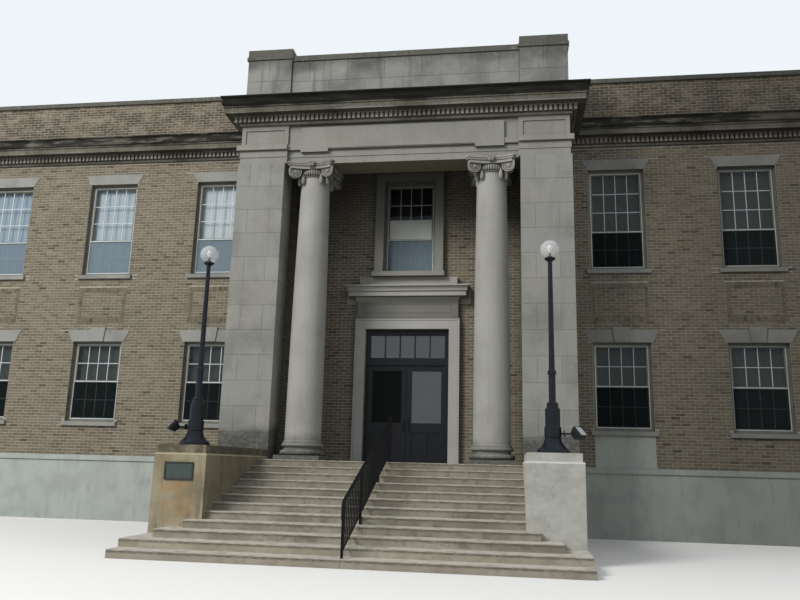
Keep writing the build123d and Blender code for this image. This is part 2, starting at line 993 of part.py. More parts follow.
with BuildPart() as capital_stone:
    with BuildSketch(Plane.XZ):
        echinus_foot = capital_foot + astragal_height
        with BuildLine():
            astragal_edge = astragal_radius - astragal_height / 2
            Line((0, capital_foot), (astragal_edge, capital_foot))
            ThreePointArc(
                (astragal_edge, capital_foot),
                (astragal_radius, capital_foot + astragal_height / 2),
                (astragal_edge, echinus_foot),
            )
            ThreePointArc(
                (astragal_edge, echinus_foot),
                (
                    astragal_edge + (echinus_radius - astragal_edge) * round_out,
                    echinus_foot + echinus_height * round_in,
                ),
                (echinus_radius, echinus_foot + echinus_height),
            )
            Polyline(
                (echinus_radius, echinus_foot + echinus_height),
                (echinus_radius, abacus_foot),
                (0, abacus_foot),
                (0, capital_foot),
            )
        make_face()
    revolve(axis=Axis.Z)
    with BuildSketch(Plane.XY.offset(abacus_foot - canalis_height)):
        add(abacus_outline(abacus_half_width - canalis_inset))
    extrude(amount=canalis_height)
    with BuildSketch(Plane.XY.offset(abacus_foot)):
        add(abacus_outline(abacus_half_width - abacus_fillet_inset))
    extrude(amount=abacus_height)
    with BuildSketch(Plane.XY.offset(abacus_foot + abacus_height / 2)):
        add(abacus_outline(abacus_half_width))
    extrude(amount=abacus_height / 2)
    for turn in range(4):
        add(corner_volute.part.rotate(Axis.Z, 90 * turn))

with BuildPart() as column_capitals:
    with Locations(*column_places):
        add(capital_stone.part)
save(column_capitals, "column_capitals")


# Attic over the portico

attic_wall_y = attic_face_y + attic_pedestal_proud
attic_pedestal_y = (attic_face_y, attic_face_y + pilaster_width)
attic_side_y = (attic_pedestal_y[1], porch_wall_y)
attic_side_outer = frieze_half_width
attic_side_inner = attic_side_outer - attic_wall_thickness

with BuildPart() as attic_pedestals:
    for side in (-1, 1):
        ends = sorted((side * pilaster_inner_x, side * frieze_half_width))
        block(ends, attic_pedestal_y, (crown_level, attic_pedestal_top))
save(attic_pedestals, "attic_pedestals")

with BuildPart() as attic_walls:
    front_run = (-pilaster_inner_x, pilaster_inner_x)
    block(front_run, (attic_wall_y, attic_wall_y + attic_wall_thickness), (crown_level, attic_wall_top))
    for side in (-1, 1):
        ends = sorted((side * attic_side_inner, side * attic_side_outer))
        block(ends, attic_side_y, (crown_level, attic_wall_top))
save(attic_walls, "attic_walls")

with BuildPart() as attic_coping:
    coping_z = (attic_wall_top, attic_wall_top + attic_coping_height)
    over = attic_coping_overhang
    block(front_run, (attic_wall_y - over, attic_wall_y + attic_wall_thickness + over), coping_z)
    for side in (-1, 1):
        ends = sorted((side * (attic_side_inner - over), side * (attic_side_outer + over)))
        block(ends, attic_side_y, coping_z)
save(attic_coping, "attic_coping")

with BuildPart() as attic_pedestal_caps:
    band_top = attic_wall_top + attic_coping_height
    cap_top = attic_pedestal_top + attic_cap_height
    for side in (-1, 1):
        ends = sorted((side * pilaster_inner_x, side * frieze_half_width))
        for grow, levels in (
            (over, (attic_pedestal_top, band_top)),
            (over - attic_cap_inset, (band_top, cap_top)),
        ):
            cap_x = (ends[0] - grow, ends[1] + grow)
            cap_y = (attic_pedestal_y[0] - grow, attic_pedestal_y[1] + grow)
            block(cap_x, cap_y, levels)
    for solid in (attic_walls, attic_coping):
        add(solid.part, mode=Mode.SUBTRACT)
save(attic_pedestal_caps, "attic_pedestal_caps")


# Window frames and glass, drawn once like the sills, and hung as sliding sashes

def sash_window(width, height, meeting_share):
    """Box frame with an upper sash in front of a lower one."""
    meeting = height * meeting_share
    inner = width - 2 * frame_width
    upper_z = -window_reveal - frame_depth / 2
    with BuildPart() as frame:
        with BuildSketch(Plane.XY.offset(-window_reveal - frame_depth)):
            with Locations((0, height / 2)):
                Rectangle(width, height)
                Rectangle(inner, height - 2 * frame_width, mode=Mode.SUBTRACT)
        extrude(amount=frame_depth)
        for foot, head, back in (
            (meeting - sash_width / 2, height - frame_width, upper_z),
            (frame_width, meeting + sash_width / 2, upper_z - sash_depth),
        ):
            with BuildSketch(Plane.XY.offset(back)):
                with Locations((0, (foot + head) / 2)):
                    Rectangle(inner, head - foot)
                    Rectangle(inner - 2 * sash_width, head - foot - 2 * sash_width, mode=Mode.SUBTRACT)
            extrude(amount=sash_depth)
    return frame.part


def sash_glass(width, height, meeting_share):
    meeting = height * meeting_share
    pane_width = width - 2 * frame_width - 2 * sash_width
    upper_z = -window_reveal - frame_depth / 2
    with BuildPart() as panes:
        for foot, head, back in (
            (meeting + sash_width / 2, height - frame_width - sash_width, upper_z),
            (frame_width + sash_width, meeting - sash_width / 2, upper_z - sash_depth),
        ):
            middle = back + sash_depth / 2
            glass_z = (middle - glass_thickness / 2, middle + glass_thickness / 2)
            block((-pane_width / 2, pane_width / 2), (foot, head), glass_z)
    return panes.part


lower_size = (window_width, lower_window_height, lower_meeting_share)
upper_size = (window_width, upper_window_height, upper_meeting_share)
centre_size = (centre_window_width, centre_window_height, upper_meeting_share)
centre_place = front_face.location * Location((0, centre_sill_level, 0))

for name, make in (("frames", sash_window), ("glass", sash_glass)):
    with BuildPart() as lower_storey:
        with Locations(*window_places(lower_sill_level)):
            add(make(*lower_size))
    save(lower_storey, f"lower_window_{name}")

    with BuildPart() as upper_storey:
        with Locations(*window_places(upper_sill_level)):
            add(make(*upper_size))
        with Locations(centre_place):
            add(make(*centre_size))
    save(upper_storey, f"upper_window_{name}")

surround_y = -surround_projection

with BuildPart() as centre_window_surround:
    outer_x = centre_window_width / 2 + centre_surround_width
    outer_top = centre_sill_level + centre_window_height + centre_surround_width
    with BuildSketch(front_face):
        with Locations((0, (centre_sill_level + outer_top) / 2)):
            Rectangle(2 * outer_x, outer_top - centre_sill_level)
        with Locations((0, centre_sill_level + centre_window_height / 2)):
            Rectangle(centre_window_width, centre_window_height, mode=Mode.SUBTRACT)
    extrude(amount=surround_projection)
    sill_x = (-centre_sill_half_width, centre_sill_half_width)
    sill_y = (surround_y - centre_sill_projection, 0)
    block(sill_x, sill_y, (centre_sill_level - sill_height, centre_sill_level))
save(centre_window_surround, "centre_window_surround")


# Doorway

with BuildPart() as door_surround:
    outer_x = door_half_width + surround_width
    with BuildSketch(front_face):
        with BuildLine():
            Polyline(
                (-outer_x, ground_floor_level),
                (-outer_x, door_head_level + surround_width),
                (outer_x, door_head_level + surround_width),
                (outer_x, ground_floor_level),
                (door_half_width, ground_floor_level),
                (door_half_width, door_head_level),
                (-door_half_width, door_head_level),
                (-door_half_width, ground_floor_level),
                close=True,
            )
        make_face()
    extrude(amount=surround_projection)
    field_top = door_head_level + surround_width - surround_band
    with BuildSketch(front_face.offset(surround_projection)):
        with Locations((0, (ground_floor_level + field_top) / 2)):
            Rectangle(2 * (outer_x - surround_band), field_top - ground_floor_level)
    extrude(amount=-surround_recess, mode=Mode.SUBTRACT)
save(door_surround, "door_surround")


def hood_section(half_width):
    """Frieze, bed, corona and block over the door, stepping out from a face."""
    foot = door_head_level + surround_width
    bed = foot + door_frieze_height
    corona = bed + hood_bed_height
    cyma = corona + hood_corona_height
    top = cyma + hood_cyma_height
    lip = hood_cyma_height / 4
    with BuildSketch() as outline:
        with BuildLine():
            Polyline(
                (0, foot),
                (half_width, foot),
                (half_width, bed),
                (half_width + hood_bed_projection, corona),
                (half_width + hood_corona_projection, corona),
                (half_width + hood_corona_projection, cyma),
                (half_width + hood_projection - lip, top - lip),
                (half_width + hood_projection, top - lip),
                (half_width + hood_projection, top),
                (half_width - door_block_inset, top),
                (half_width - door_block_inset, centre_sill_level - sill_height),
                (0, centre_sill_level - sill_height),
                close=True,
            )
        make_face()
    return outline.sketch


with BuildPart() as door_hood:
    with BuildSketch(Plane.YZ.offset(-2 * door_half_width)):
        add(hood_section(surround_projection - door_frieze_inset).mirror(Plane.YZ))
    extrude(amount=4 * door_half_width)
    with BuildSketch(front_face):
        front_outline = hood_section(door_frieze_half_width)
        add(front_outline)
        add(front_outline.mirror(Plane.YZ))
    extrude(amount=2 * portico_projection, mode=Mode.INTERSECT)
save(door_hood, "door_hood")

leaf_foot = ground_floor_level + leaf_foot_gap
leaf_head = door_leaf_top - leaf_gap
leaf_outer_x = door_half_width - door_frame_width - leaf_gap
leaf_inner_x = leaf_gap / 2
leaf_y = (leaf_setback, leaf_setback + leaf_thickness)
hinge_x = leaf_outer_x
hinge_y = leaf_setback

leaf_knuckle_offset = knuckle_height + hinge_clearance
frame_knuckle_places = [
    (side * hinge_x, hinge_y, level) for side in (-1, 1) for level in hinge_levels
]
leaf_knuckle_places = {
    side: [
        (side * hinge_x, hinge_y, level + up * leaf_knuckle_offset)
        for level in hinge_levels
        for up in (-1, 1)
    ]
    for side in (-1, 1)
}

with BuildPart() as door_frame:
    with BuildSketch(front_face.offset(-door_frame_setback)):
        with Locations((0, (ground_floor_level + door_head_level) / 2)):
            Rectangle(2 * door_half_width, door_head_level - ground_floor_level)
        with Locations((0, (ground_floor_level + door_leaf_top) / 2)):
            Rectangle(
                2 * (door_half_width - door_frame_width),
                door_leaf_top - ground_floor_level,
                mode=Mode.SUBTRACT,
            )
        with Locations((0, (transom_bottom + transom_top) / 2)):
            Rectangle(transom_width, transom_top - transom_bottom, mode=Mode.SUBTRACT)
    extrude(amount=-door_frame_depth)
    for light in range(1, transom_lights):
        bar_x = -transom_width / 2 + light * transom_width / transom_lights
        bar = (bar_x - transom_bar_width / 2, bar_x + transom_bar_width / 2)
        block(bar, leaf_y, (transom_bottom, transom_top))
    for side in (-1, 1):
        with Locations(*leaf_knuckle_places[side]):
            Cylinder(hinge_radius + hinge_notch, knuckle_height + 2 * hinge_clearance, mode=Mode.SUBTRACT)
    for x, y, level in frame_knuckle_places:
        side = 1 if x > 0 else -1
        plate_x = sorted((x, side * (door_half_width - door_frame_width)))
        block(plate_x, (y - hinge_radius, y), (level - knuckle_height / 2, level + knuckle_height / 2))
    with Locations(*frame_knuckle_places):
        Cylinder(hinge_radius, knuckle_height)
save(door_frame, "door_frame")

with BuildPart() as transom_glass:
    middle_y = leaf_setback + leaf_thickness / 2
    pane_y = (middle_y - glass_thickness / 2, middle_y + glass_thickness / 2)
    block((-transom_width / 2, transom_width / 2), pane_y, (transom_bottom, transom_top))
    add(door_frame.part, mode=Mode.SUBTRACT)
save(transom_glass, "transom_glass")

glass_x = (leaf_inner_x + leaf_stile, leaf_outer_x - leaf_stile)

for side, hand in ((-1, "left"), (1, "right")):
    leaf_middle_x = side * (leaf_inner_x + leaf_outer_x) / 2
    with BuildPart() as door_leaf:
        with BuildSketch(front_face.offset(-leaf_setback)):
            with Locations((leaf_middle_x, (leaf_foot + leaf_head) / 2)):
                Rectangle(leaf_outer_x - leaf_inner_x, leaf_head - leaf_foot)
            with Locations((leaf_middle_x, (leaf_glass_bottom + leaf_glass_top) / 2)):
                Rectangle(glass_x[1] - glass_x[0], leaf_glass_top - leaf_glass_bottom, mode=Mode.SUBTRACT)
        extrude(amount=-leaf_thickness)
        panel_width = (glass_x[1] - glass_x[0] - leaf_panel_mullion) / 2
        panel_shift = (panel_width + leaf_panel_mullion) / 2
        panel_z = (leaf_panel_bottom, leaf_panel_top)
        for shift in (-panel_shift, panel_shift):
            panel_x = (leaf_middle_x + shift - panel_width / 2, leaf_middle_x + shift + panel_width / 2)
            for face_y in (leaf_y[0], leaf_y[1] - leaf_panel_recess):
                block(panel_x, (face_y, face_y + leaf_panel_recess), panel_z, Mode.SUBTRACT)
        with Locations(*[place for place in frame_knuckle_places if place[0] * side > 0]):
            Cylinder(hinge_radius + hinge_notch, knuckle_height + 2 * hinge_clearance, mode=Mode.SUBTRACT)
        with Locations(*leaf_knuckle_places[side]):
            Cylinder(hinge_radius, knuckle_height)
        pull_x = side * (leaf_inner_x + leaf_stile / 2)
        with Locations((pull_x, leaf_y[0] - pull_stand, pull_level)):
            Cylinder(pull_radius, pull_height)
        for end in (-1, 1):
            stud_z = pull_level + end * (pull_height / 2 - 2 * pull_radius)
            with Locations((pull_x, leaf_y[0] - pull_stand / 2, stud_z)):
                Cylinder(pull_stud_radius, pull_stand, rotation=(90, 0, 0))
    save(door_leaf, f"{hand}_door_leaf")

    with BuildPart() as leaf_glass:
        pane_x = sorted((side * glass_x[0], side * glass_x[1]))
        block(pane_x, pane_y, (leaf_glass_bottom, leaf_glass_top))
    save(leaf_glass, f"{hand}_door_glass")


# Apron, lamps, floodlights and handrail

with BuildPart() as apron_panel:
    with BuildSketch(front_face):
        with Locations((wing_centres[0], (ground_floor_level + lower_sill_level - sill_height) / 2)):
            Rectangle(apron_width, lower_sill_level - sill_height - ground_floor_level)
    extrude(amount=apron_projection)
save(apron_panel, "apron_panel")

lamp_places = [(side * cheek_middle_x, lamp_y) for side in (-1, 1)]
cup_top = lamp_globe_level - lamp_globe_cut
cup_foot = cup_top - lamp_cup_height

with BuildPart() as post_shape:
    with BuildSketch(Plane.XZ):
        with BuildLine():
            foot = cheek_top_level
            bell_foot = foot + 2 * lamp_flange_height
            collar_top = lamp_neck_top + lamp_collar_height
            Polyline(
                (0, foot),
                (lamp_flange_radius, foot),
                (lamp_flange_radius, foot + lamp_flange_height),
                (lamp_bell_radius, bell_foot),
            )
            ThreePointArc(
                (lamp_bell_radius, bell_foot),
                (lamp_bell_middle_radius, (bell_foot + lamp_band_bottom) / 2),
                (lamp_band_radius - lamp_bead, lamp_band_bottom),
            )
            Polyline(
                (lamp_band_radius - lamp_bead, lamp_band_bottom),
                (lamp_band_radius, lamp_band_bottom + lamp_bead),
                (lamp_band_radius, lamp_band_top),
                (lamp_barrel_radius + lamp_bead, lamp_band_top + lamp_bead),
                (lamp_barrel_radius, lamp_band_top + 2 * lamp_bead),
                (lamp_barrel_radius, lamp_barrel_top),
                (lamp_neck_radius, lamp_barrel_top + 2 * lamp_bead),
                (lamp_neck_radius - lamp_bead, lamp_neck_top),
                (lamp_collar_radius + lamp_bead, lamp_neck_top + lamp_bead),
                (lamp_collar_radius, collar_top),
                (lamp_shaft_radius, collar_top + lamp_collar_height),
                (lamp_shaft_radius, lamp_ring_level),
                (lamp_ring_radius, lamp_ring_level),
                (lamp_ring_radius, lamp_ring_level + lamp_ring_height),
                (lamp_upper_radius, lamp_ring_level + lamp_ring_height + lamp_collar_height),
                (lamp_tip_radius, cup_foot),
                (lamp_cup_radius, cup_top - lamp_cup_rim),
                (lamp_cup_radius, cup_top),
                (0, cup_top),
                (0, foot),
            )
        make_face()
    revolve(axis=Axis.Z)

with BuildPart() as globe_shape:
    with Locations((0, 0, lamp_globe_level)):
        Sphere(lamp_globe_radius)
        Sphere(lamp_globe_radius - globe_wall, mode=Mode.SUBTRACT)
    split(bisect_by=Plane.XY.offset(cup_top), keep=Keep.TOP)

with BuildPart() as lamp_posts:
    with Locations(*lamp_places):
        add(post_shape.part)
save(lamp_posts, "lamp_posts")

with BuildPart() as lamp_globes:
    with Locations(*lamp_places):
        add(globe_shape.part)
save(lamp_globes, "lamp_globes")

with BuildPart() as floodlights:
    for side in (-1, 1):
        aim = Vector(side * flood_aim[0], flood_aim[1], flood_aim[2]).normalized()
        middle = Vector(side * (cheek_middle_x + flood_reach), lamp_y, flood_level)
        lens = Plane(origin=middle + aim * (flood_depth / 2), x_dir=Vector(0, 0, 1).cross(aim), z_dir=aim)
        with BuildSketch(lens.offset(-flood_depth)):
            Rectangle(*flood_back)
        with BuildSketch(lens.offset(-flood_depth / 3), lens):
            Rectangle(*flood_lens)
        loft(ruled=True)
        with BuildSketch(lens):
            Rectangle(flood_lens[0] - 2 * flood_rim, flood_lens[1] - 2 * flood_rim)
        extrude(amount=-flood_rim, mode=Mode.SUBTRACT)
        arm_start = (side * cheek_middle_x, lamp_y, flood_level)
        outward = Plane(origin=arm_start, x_dir=(0, 1, 0), z_dir=(side, 0, 0))
        with BuildSketch(outward):
            Circle(flood_arm_radius)
        extrude(amount=flood_reach)
        with BuildSketch(outward.offset(flood_flange_reach)):
            Circle(flood_flange_radius)
        extrude(amount=flood_flange_thickness)
    add(lamp_posts.part, mode=Mode.SUBTRACT)
save(floodlights, "floodlights")


def rail_line(y):
    """Height of the line through the step edges at a distance along the rail."""
    return step_rise + (y - steps_front_y) * step_rise / step_going


def tread_level(y):
    """Height of the step or landing under the rail."""
    if y > landing_y:
        return ground_floor_level
    return (int((y - steps_front_y) // step_going) + 1) * step_rise


with BuildPart() as handrail:
    rail_middle = rail_height - rail_top_height / 2
    rail_end_y = rail_foot_y - rail_top_height
    rail_turn = rail_line(rail_end_y) + rail_middle
    with BuildLine() as rail_path:
        FilletPolyline(
            (0, rail_end_y, rail_turn - rail_drop),
            (0, rail_end_y, rail_turn),
            (0, rail_head_y, rail_line(rail_head_y) + rail_middle),
            radius=rail_bend_radius,
        )
    with BuildSketch(Plane(origin=rail_path.line @ 0, x_dir=(1, 0, 0), z_dir=rail_path.line % 0)):
        RectangleRounded(rail_post, rail_top_height, rail_top_height / 4)
    sweep()
    with BuildSketch(Plane.YZ.offset(-rail_bar / 2)):
        with BuildLine():
            Polyline(
                (rail_foot_y, rail_line(rail_foot_y) + rail_bottom_gap),
                (rail_head_y, rail_line(rail_head_y) + rail_bottom_gap),
                (rail_head_y, rail_line(rail_head_y) + rail_bottom_gap + rail_bar),
                (rail_foot_y, rail_line(rail_foot_y) + rail_bottom_gap + rail_bar),
                close=True,
            )
        make_face()
    extrude(amount=rail_bar)
    for post_y in (rail_foot_y, *rail_middle_posts, rail_head_y):
        half = (rail_post - rail_bar / 2) / 2
        top = rail_line(post_y) + rail_middle
        block((-half, half), (post_y - half, post_y + half), (tread_level(post_y), top))
    picket_count = int((rail_head_y - rail_foot_y) / rail_pitch)
    pitch = (rail_head_y - rail_foot_y) / picket_count
    picket_lines = [rail_foot_y + picket * pitch for picket in range(1, picket_count)]
    picket_middle = (rail_bottom_gap + rail_middle) / 2
    with Locations(*[(0, y, rail_line(y) + picket_middle) for y in picket_lines]):
        Box(rail_bar, rail_bar, rail_middle - rail_bottom_gap)
save(handrail, "handrail")
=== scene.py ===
import math
import random

import bmesh
import bpy
from mathutils import Matrix, Vector


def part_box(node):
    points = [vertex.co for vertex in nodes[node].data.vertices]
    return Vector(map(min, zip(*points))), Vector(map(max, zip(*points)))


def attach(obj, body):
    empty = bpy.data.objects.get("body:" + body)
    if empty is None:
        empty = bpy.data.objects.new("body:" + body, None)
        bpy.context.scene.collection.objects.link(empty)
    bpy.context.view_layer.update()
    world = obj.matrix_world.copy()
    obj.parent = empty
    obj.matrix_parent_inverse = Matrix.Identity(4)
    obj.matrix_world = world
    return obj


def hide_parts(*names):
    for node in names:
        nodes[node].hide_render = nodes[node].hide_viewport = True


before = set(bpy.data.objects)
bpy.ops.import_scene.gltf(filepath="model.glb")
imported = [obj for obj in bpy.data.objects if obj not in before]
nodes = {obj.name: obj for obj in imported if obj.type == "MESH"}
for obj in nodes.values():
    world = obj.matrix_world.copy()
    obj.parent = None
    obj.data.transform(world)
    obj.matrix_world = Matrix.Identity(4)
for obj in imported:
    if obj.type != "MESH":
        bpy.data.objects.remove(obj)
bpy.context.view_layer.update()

random.seed(11)

# Driving sizes, in metres
brick_pitch = 0.21
brick_course = 0.07
brick_joint = 0.013
half_joint = brick_joint / 2
brick_proud = 0.005
brick_sunk = 0.004
brick_uneven = 0.0008
shortest_brick = 0.035
thinnest_brick = 0.02
lintel_splay = 0.143
keystone_rise = 0.062
keystone_half_foot = 0.15
keystone_half_head = 0.19
panel_half_width = 0.625
panel_top_drop = 0.326
panel_foot_drop = 1.216
panel_border = 0.1
panel_proud = 0.014
frame_width = 0.055
sash_width = 0.048
bar_width = 0.015
bar_depth = 0.02
bar_out = 0.02
lower_sash_back = 0.04
trim_width = 0.018
trim_depth = 0.012
trim_gap = 0.004
screen_out = 0.03
screen_gap = 0.002
sheet_thickness = 0.002
blind_back = 0.075
room_back = 0.04
slat_pitch = 0.05
slat_gap = 0.002
slat_depth = 0.004
dentil_out = 0.15
face_slack = 0.001
porch_inner_x = 2.8
porch_corner_gap = 0.006
pier_width = 1.086
pier_course = 0.54
pier_edge_stone = 0.3
attic_course = 0.5
attic_block = 0.9
stone_joint = 0.003
core_inset = 0.006
column_place = (1.978, -1.445)
shaft_radius = 0.318
echinus_radius = 0.372
bead_ring_radius = 0.342
flower_radius = 0.452
volute_overhang = 0.047
step_riser = 0.123
cheek_ledge = 1.534
hood_frieze_half = 1.18
hood_frieze_out = 0.14
hood_frieze_top = 5.15
hood_shade_level = 5.17
hood_panel = ((-1.02, 1.02), (4.87, 5.08))
hood_strip = 0.016
hood_bead = 0.022
hood_crown = (5.147, 5.492)
hood_lip = 0.085
hood_fillet = 0.032
hood_fillet_levels = (5.352, 5.392)
hood_block_foot = 5.49
hood_block_half = 1.15
centre_sill_height = 0.112
centre_surround_half = 0.815
plaque_span = ((-3.289, -2.789), (1.10, 1.39))
plaque_edge = 0.026
lamp_place = (3.0375, -4.566)
flood_reach = 0.395
flood_level = 1.985
flood_aim = (0.66, -0.38, 0.65)
flood_depth = 0.075
lens_half = (0.107, 0.085)

# Levels and sizes read from the frame
ground_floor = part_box("ground_floor")[1][2]
half_length, depth, parapet_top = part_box("back_wall")[1]
cornice_foot, parapet_foot = (corner[2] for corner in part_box("wing_cornices"))
pier_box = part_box("pilasters")
portico_half = pier_box[1][0]
frieze_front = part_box("frieze_ends")[0][1]
frieze_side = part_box("frieze_ends")[1][0]
dentil_foot = cornice_foot + 0.065
dentil_head = dentil_foot + 0.125
corona_head = dentil_head + 0.15


def shade(colour):
    """A colour given as it shows on screen, from 0 to 255, in linear light."""
    levels = (value / 255 for value in colour)
    return tuple(v / 12.92 if v <= 0.04045 else ((v + 0.055) / 1.055) ** 2.4 for v in levels) + (1,)


# Materials

def feed(socket, value):
    """Links a socket or sets it. Three numbers on a colour socket are a colour on screen."""
    if isinstance(value, bpy.types.NodeSocket):
        socket.id_data.links.new(value, socket)
    elif socket.type == "RGBA" and len(value) == 3:
        socket.default_value = shade(value)
    else:
        socket.default_value = value


def add_node(tree, kind, inputs=(), **settings):
    made = tree.nodes.new(kind)
    for key, value in settings.items():
        setattr(made, key, value)
    for key, value in dict(inputs).items():
        feed(made.inputs[key], value)
    return made


class Finish:
    """A procedural material built around one shader, in the object's own coordinates."""

    def __init__(self, name, roughness=0.85, **settings):
        self.material = bpy.data.materials.new(name)
        self.material.use_nodes = True
        self.tree = self.material.node_tree
        self.shader = self.tree.nodes["Principled BSDF"]
        self.shader.inputs["Roughness"].default_value = roughness
        for socket, value in settings.items():
            self.shader.inputs[socket].default_value = value
        self.place = self.node("ShaderNodeTexCoord").outputs["Object"]
        self.x, self.y, self.z = self.split(self.place)
        self.across = self.maths("ABSOLUTE", self.x)

    def node(self, kind, inputs=(), **settings):
        return add_node(self.tree, kind, inputs, **settings)

    def split(self, vector):
        return tuple(self.node("ShaderNodeSeparateXYZ", {0: vector}).outputs)

    def maths(self, operation, *values):
        return self.node("ShaderNodeMath", dict(enumerate(values)), operation=operation).outputs[0]

    def times(self, product, *factors):
        for factor in factors:
            product = self.maths("MULTIPLY", product, factor)
        return product

    def any_of(self, *tests):
        """One where any test holds: an operation, an axis and what it is compared with."""
        found = 0.0
        for operation, axis, *limits in tests:
            found = self.maths("MAXIMUM", found, self.maths(operation, getattr(self, axis), *limits))
        return found

    def noise(self, scale, detail=4, stretch=(1, 1, 1), roughness=0.55):
        place = self.node("ShaderNodeVectorMath", {0: self.place, 1: stretch}, operation="MULTIPLY")
        values = {"Vector": place.outputs[0], "Scale": scale, "Detail": detail, "Roughness": roughness}
        return self.node("ShaderNodeTexNoise", values).outputs["Fac"]

    def band(self, value, low, high, start=0.0, end=1.0):
        """Rises smoothly from start to end while the value goes from low to high."""
        values = {"Value": value, "From Min": low, "From Max": high, "To Min": start, "To Max": end}
        return self.node("ShaderNodeMapRange", values, interpolation_type="SMOOTHSTEP").outputs[0]

    def mix(self, first, second, amount, blend="MIX"):
        values = {0: amount, 6: first, 7: second}
        return self.node("ShaderNodeMix", values, data_type="RGBA", blend_type=blend).outputs[2]

    def stain(self, base, colour, value, low, high, amount=1.0):
        """The base, stained by the amount while the value goes from low to high."""
        return self.mix(base, colour, self.band(value, low, high, 0.0, amount))

    def ramp(self, value, *stops):
        made = self.node("ShaderNodeValToRGB", {0: value})
        elements = made.color_ramp.elements
        while len(elements) < len(stops):
            elements.new(0.5)
        for element, (position, colour) in zip(elements, stops):
            element.position = position
            element.color = shade(colour)
        return made.outputs[0]

    def drawn_courses(self, place, colours, size, joint, softness, offset):
        """Drawn bricks or sheets of a length and height, in two colours and that of their joints."""
        values = dict(zip(("Color1", "Color2", "Mortar"), colours))
        values.update({"Vector": place, "Scale": 1.0, "Brick Width": size[0], "Row Height": size[1]})
        values.update({"Mortar Size": joint, "Mortar Smooth": softness})
        return self.node("ShaderNodeTexBrick", values, offset=offset).outputs

    def tone(self):
        """The two random numbers that a mesh gives to each brick or block."""
        return self.split(self.node("ShaderNodeAttribute", attribute_name="tone").outputs["Vector"])

    def normal(self):
        return self.split(self.node("ShaderNodeNewGeometry").outputs["Normal"])

    def hollow_darkening(self, reach, amount):
        """Rises to the amount in corners and carved hollows narrower than the reach: partly dirt, partly
        painted shade.
        """
        values = {"Distance": reach}
        open_sky = self.node("ShaderNodeAmbientOcclusion", values, samples=6, only_local=True).outputs["AO"]
        return self.band(open_sky, 0.95, 0.45, 0.0, amount)

    def colour(self, socket):
        """The colour, with painted shade toward the right end of the front, which trees shade, and painted
        shade high in the porch, under the deep entablature.
        """
        on_front = self.band(self.y, 0.3, 0.6, 1.0, 0.0)
        # Painted shade: the front darkens toward its right end, as under trees.
        tree_shade_amount = self.times(self.band(self.x, 3.8, 7.0, 0.0, 0.52), on_front)
        tree_shaded = self.mix(socket, (78, 78, 74), tree_shade_amount, "MULTIPLY")
        # Painted shade: the porch walls darken toward the ceiling, where the entablature shades them.
        between = self.band(self.across, porch_inner_x - 0.02, porch_inner_x + 0.02, 1.0, 0.0)
        behind = self.band(self.y, -1.12, -1.0)
        rise = self.band(self.z, 5.4, 8.0, 0.0, 0.55)
        porch_shaded = self.mix(tree_shaded, (22, 20, 17), self.times(between, behind, rise, on_front))
        feed(self.shader.inputs["Base Color"], porch_shaded)

    def bump(self, height, distance, strength=0.6):
        """Adds relief, and returns the finished material."""
        values = {"Height": height, "Distance": distance, "Strength": strength}
        feed(self.shader.inputs["Normal"], self.node("ShaderNodeBump", values).outputs[0])
        return self.material


brick_tan = (119, 111, 97)
brick_olive = (110, 104, 91)
brick_brown = (104, 96, 81)
brick_dark = (76, 70, 58)
brick_red = (112, 97, 83)
mortar_colour = (173, 168, 155)


def brick_colours(finish, pick, light):
    """Tan, olive and brown bricks, a few of them dark or reddish."""
    stops = (
        (0.0, brick_dark),
        (0.13, brick_brown),
        (0.34, brick_olive),
        (0.66, brick_tan),
        (0.86, brick_brown),
        (1.0, brick_red),
    )
    colour = finish.ramp(pick, *stops)
    colour = finish.stain(colour, (142, 134, 114), light, 0.3, 1.0, 0.3)
    speckle = finish.noise(38, 3)
    colour = finish.stain(colour, (62, 57, 47), speckle, 0.5, 0.75, 0.45)
    parapet = finish.band(finish.z, parapet_foot, parapet_foot + 0.1)
    pale = finish.times(parapet, finish.band(finish.noise(5, 4), 0.5, 0.68, 0.0, 0.35))
    colour = finish.mix(colour, (156, 143, 132), pale)
    patches = finish.band(finish.noise(1.9, 6, (1, 1, 1.7), 0.68), 0.4, 0.58, 0.0, 0.88)
    uneven = finish.times(patches, finish.band(light, 0.0, 1.0, 0.75, 1.0))
    colour = finish.mix(colour, (60, 54, 47), finish.times(parapet, uneven))
    return finish.stain(colour, (92, 88, 72), finish.noise(0.5, 3), 0.5, 0.75, 0.4)


# The modelled bricks, each with its own two tones
finish = Finish("brick_faces", 0.92)
pick, light, _ = finish.tone()
finish.colour(brick_colours(finish, pick, light))
brick_faces = finish.bump(finish.noise(90, 4), 0.003)


def wall_finish(name, covered):
    """Mortar where bricks stand on the wall, and drawn brickwork on its other faces."""
    finish = Finish(name, 0.95)
    facing_x = finish.maths("GREATER_THAN", finish.maths("ABSOLUTE", finish.normal()[0]), 0.5)
    along = finish.node("ShaderNodeMix", {0: facing_x, 2: finish.x, 3: finish.y}).outputs[0]
    up = finish.maths("SUBTRACT", finish.z, ground_floor)
    place = finish.node("ShaderNodeCombineXYZ", {0: along, 1: up}).outputs[0]
    colours = ((0, 0, 0, 1), (1, 1, 1, 1), (0.5, 0.5, 0.5, 1))
    drawn = finish.drawn_courses(place, colours, (brick_pitch, brick_course), half_joint, 0.1, 0.5)
    pick = finish.split(drawn["Color"])[0]
    mortar = finish.stain(mortar_colour, (146, 141, 127), finish.noise(9, 4), 0.4, 0.7)
    drawn_wall = finish.mix(brick_colours(finish, pick, pick), mortar, drawn["Fac"])
    finish.colour(finish.mix(drawn_wall, mortar, finish.any_of(*covered)))
    return finish.bump(finish.noise(160, 3), 0.002)


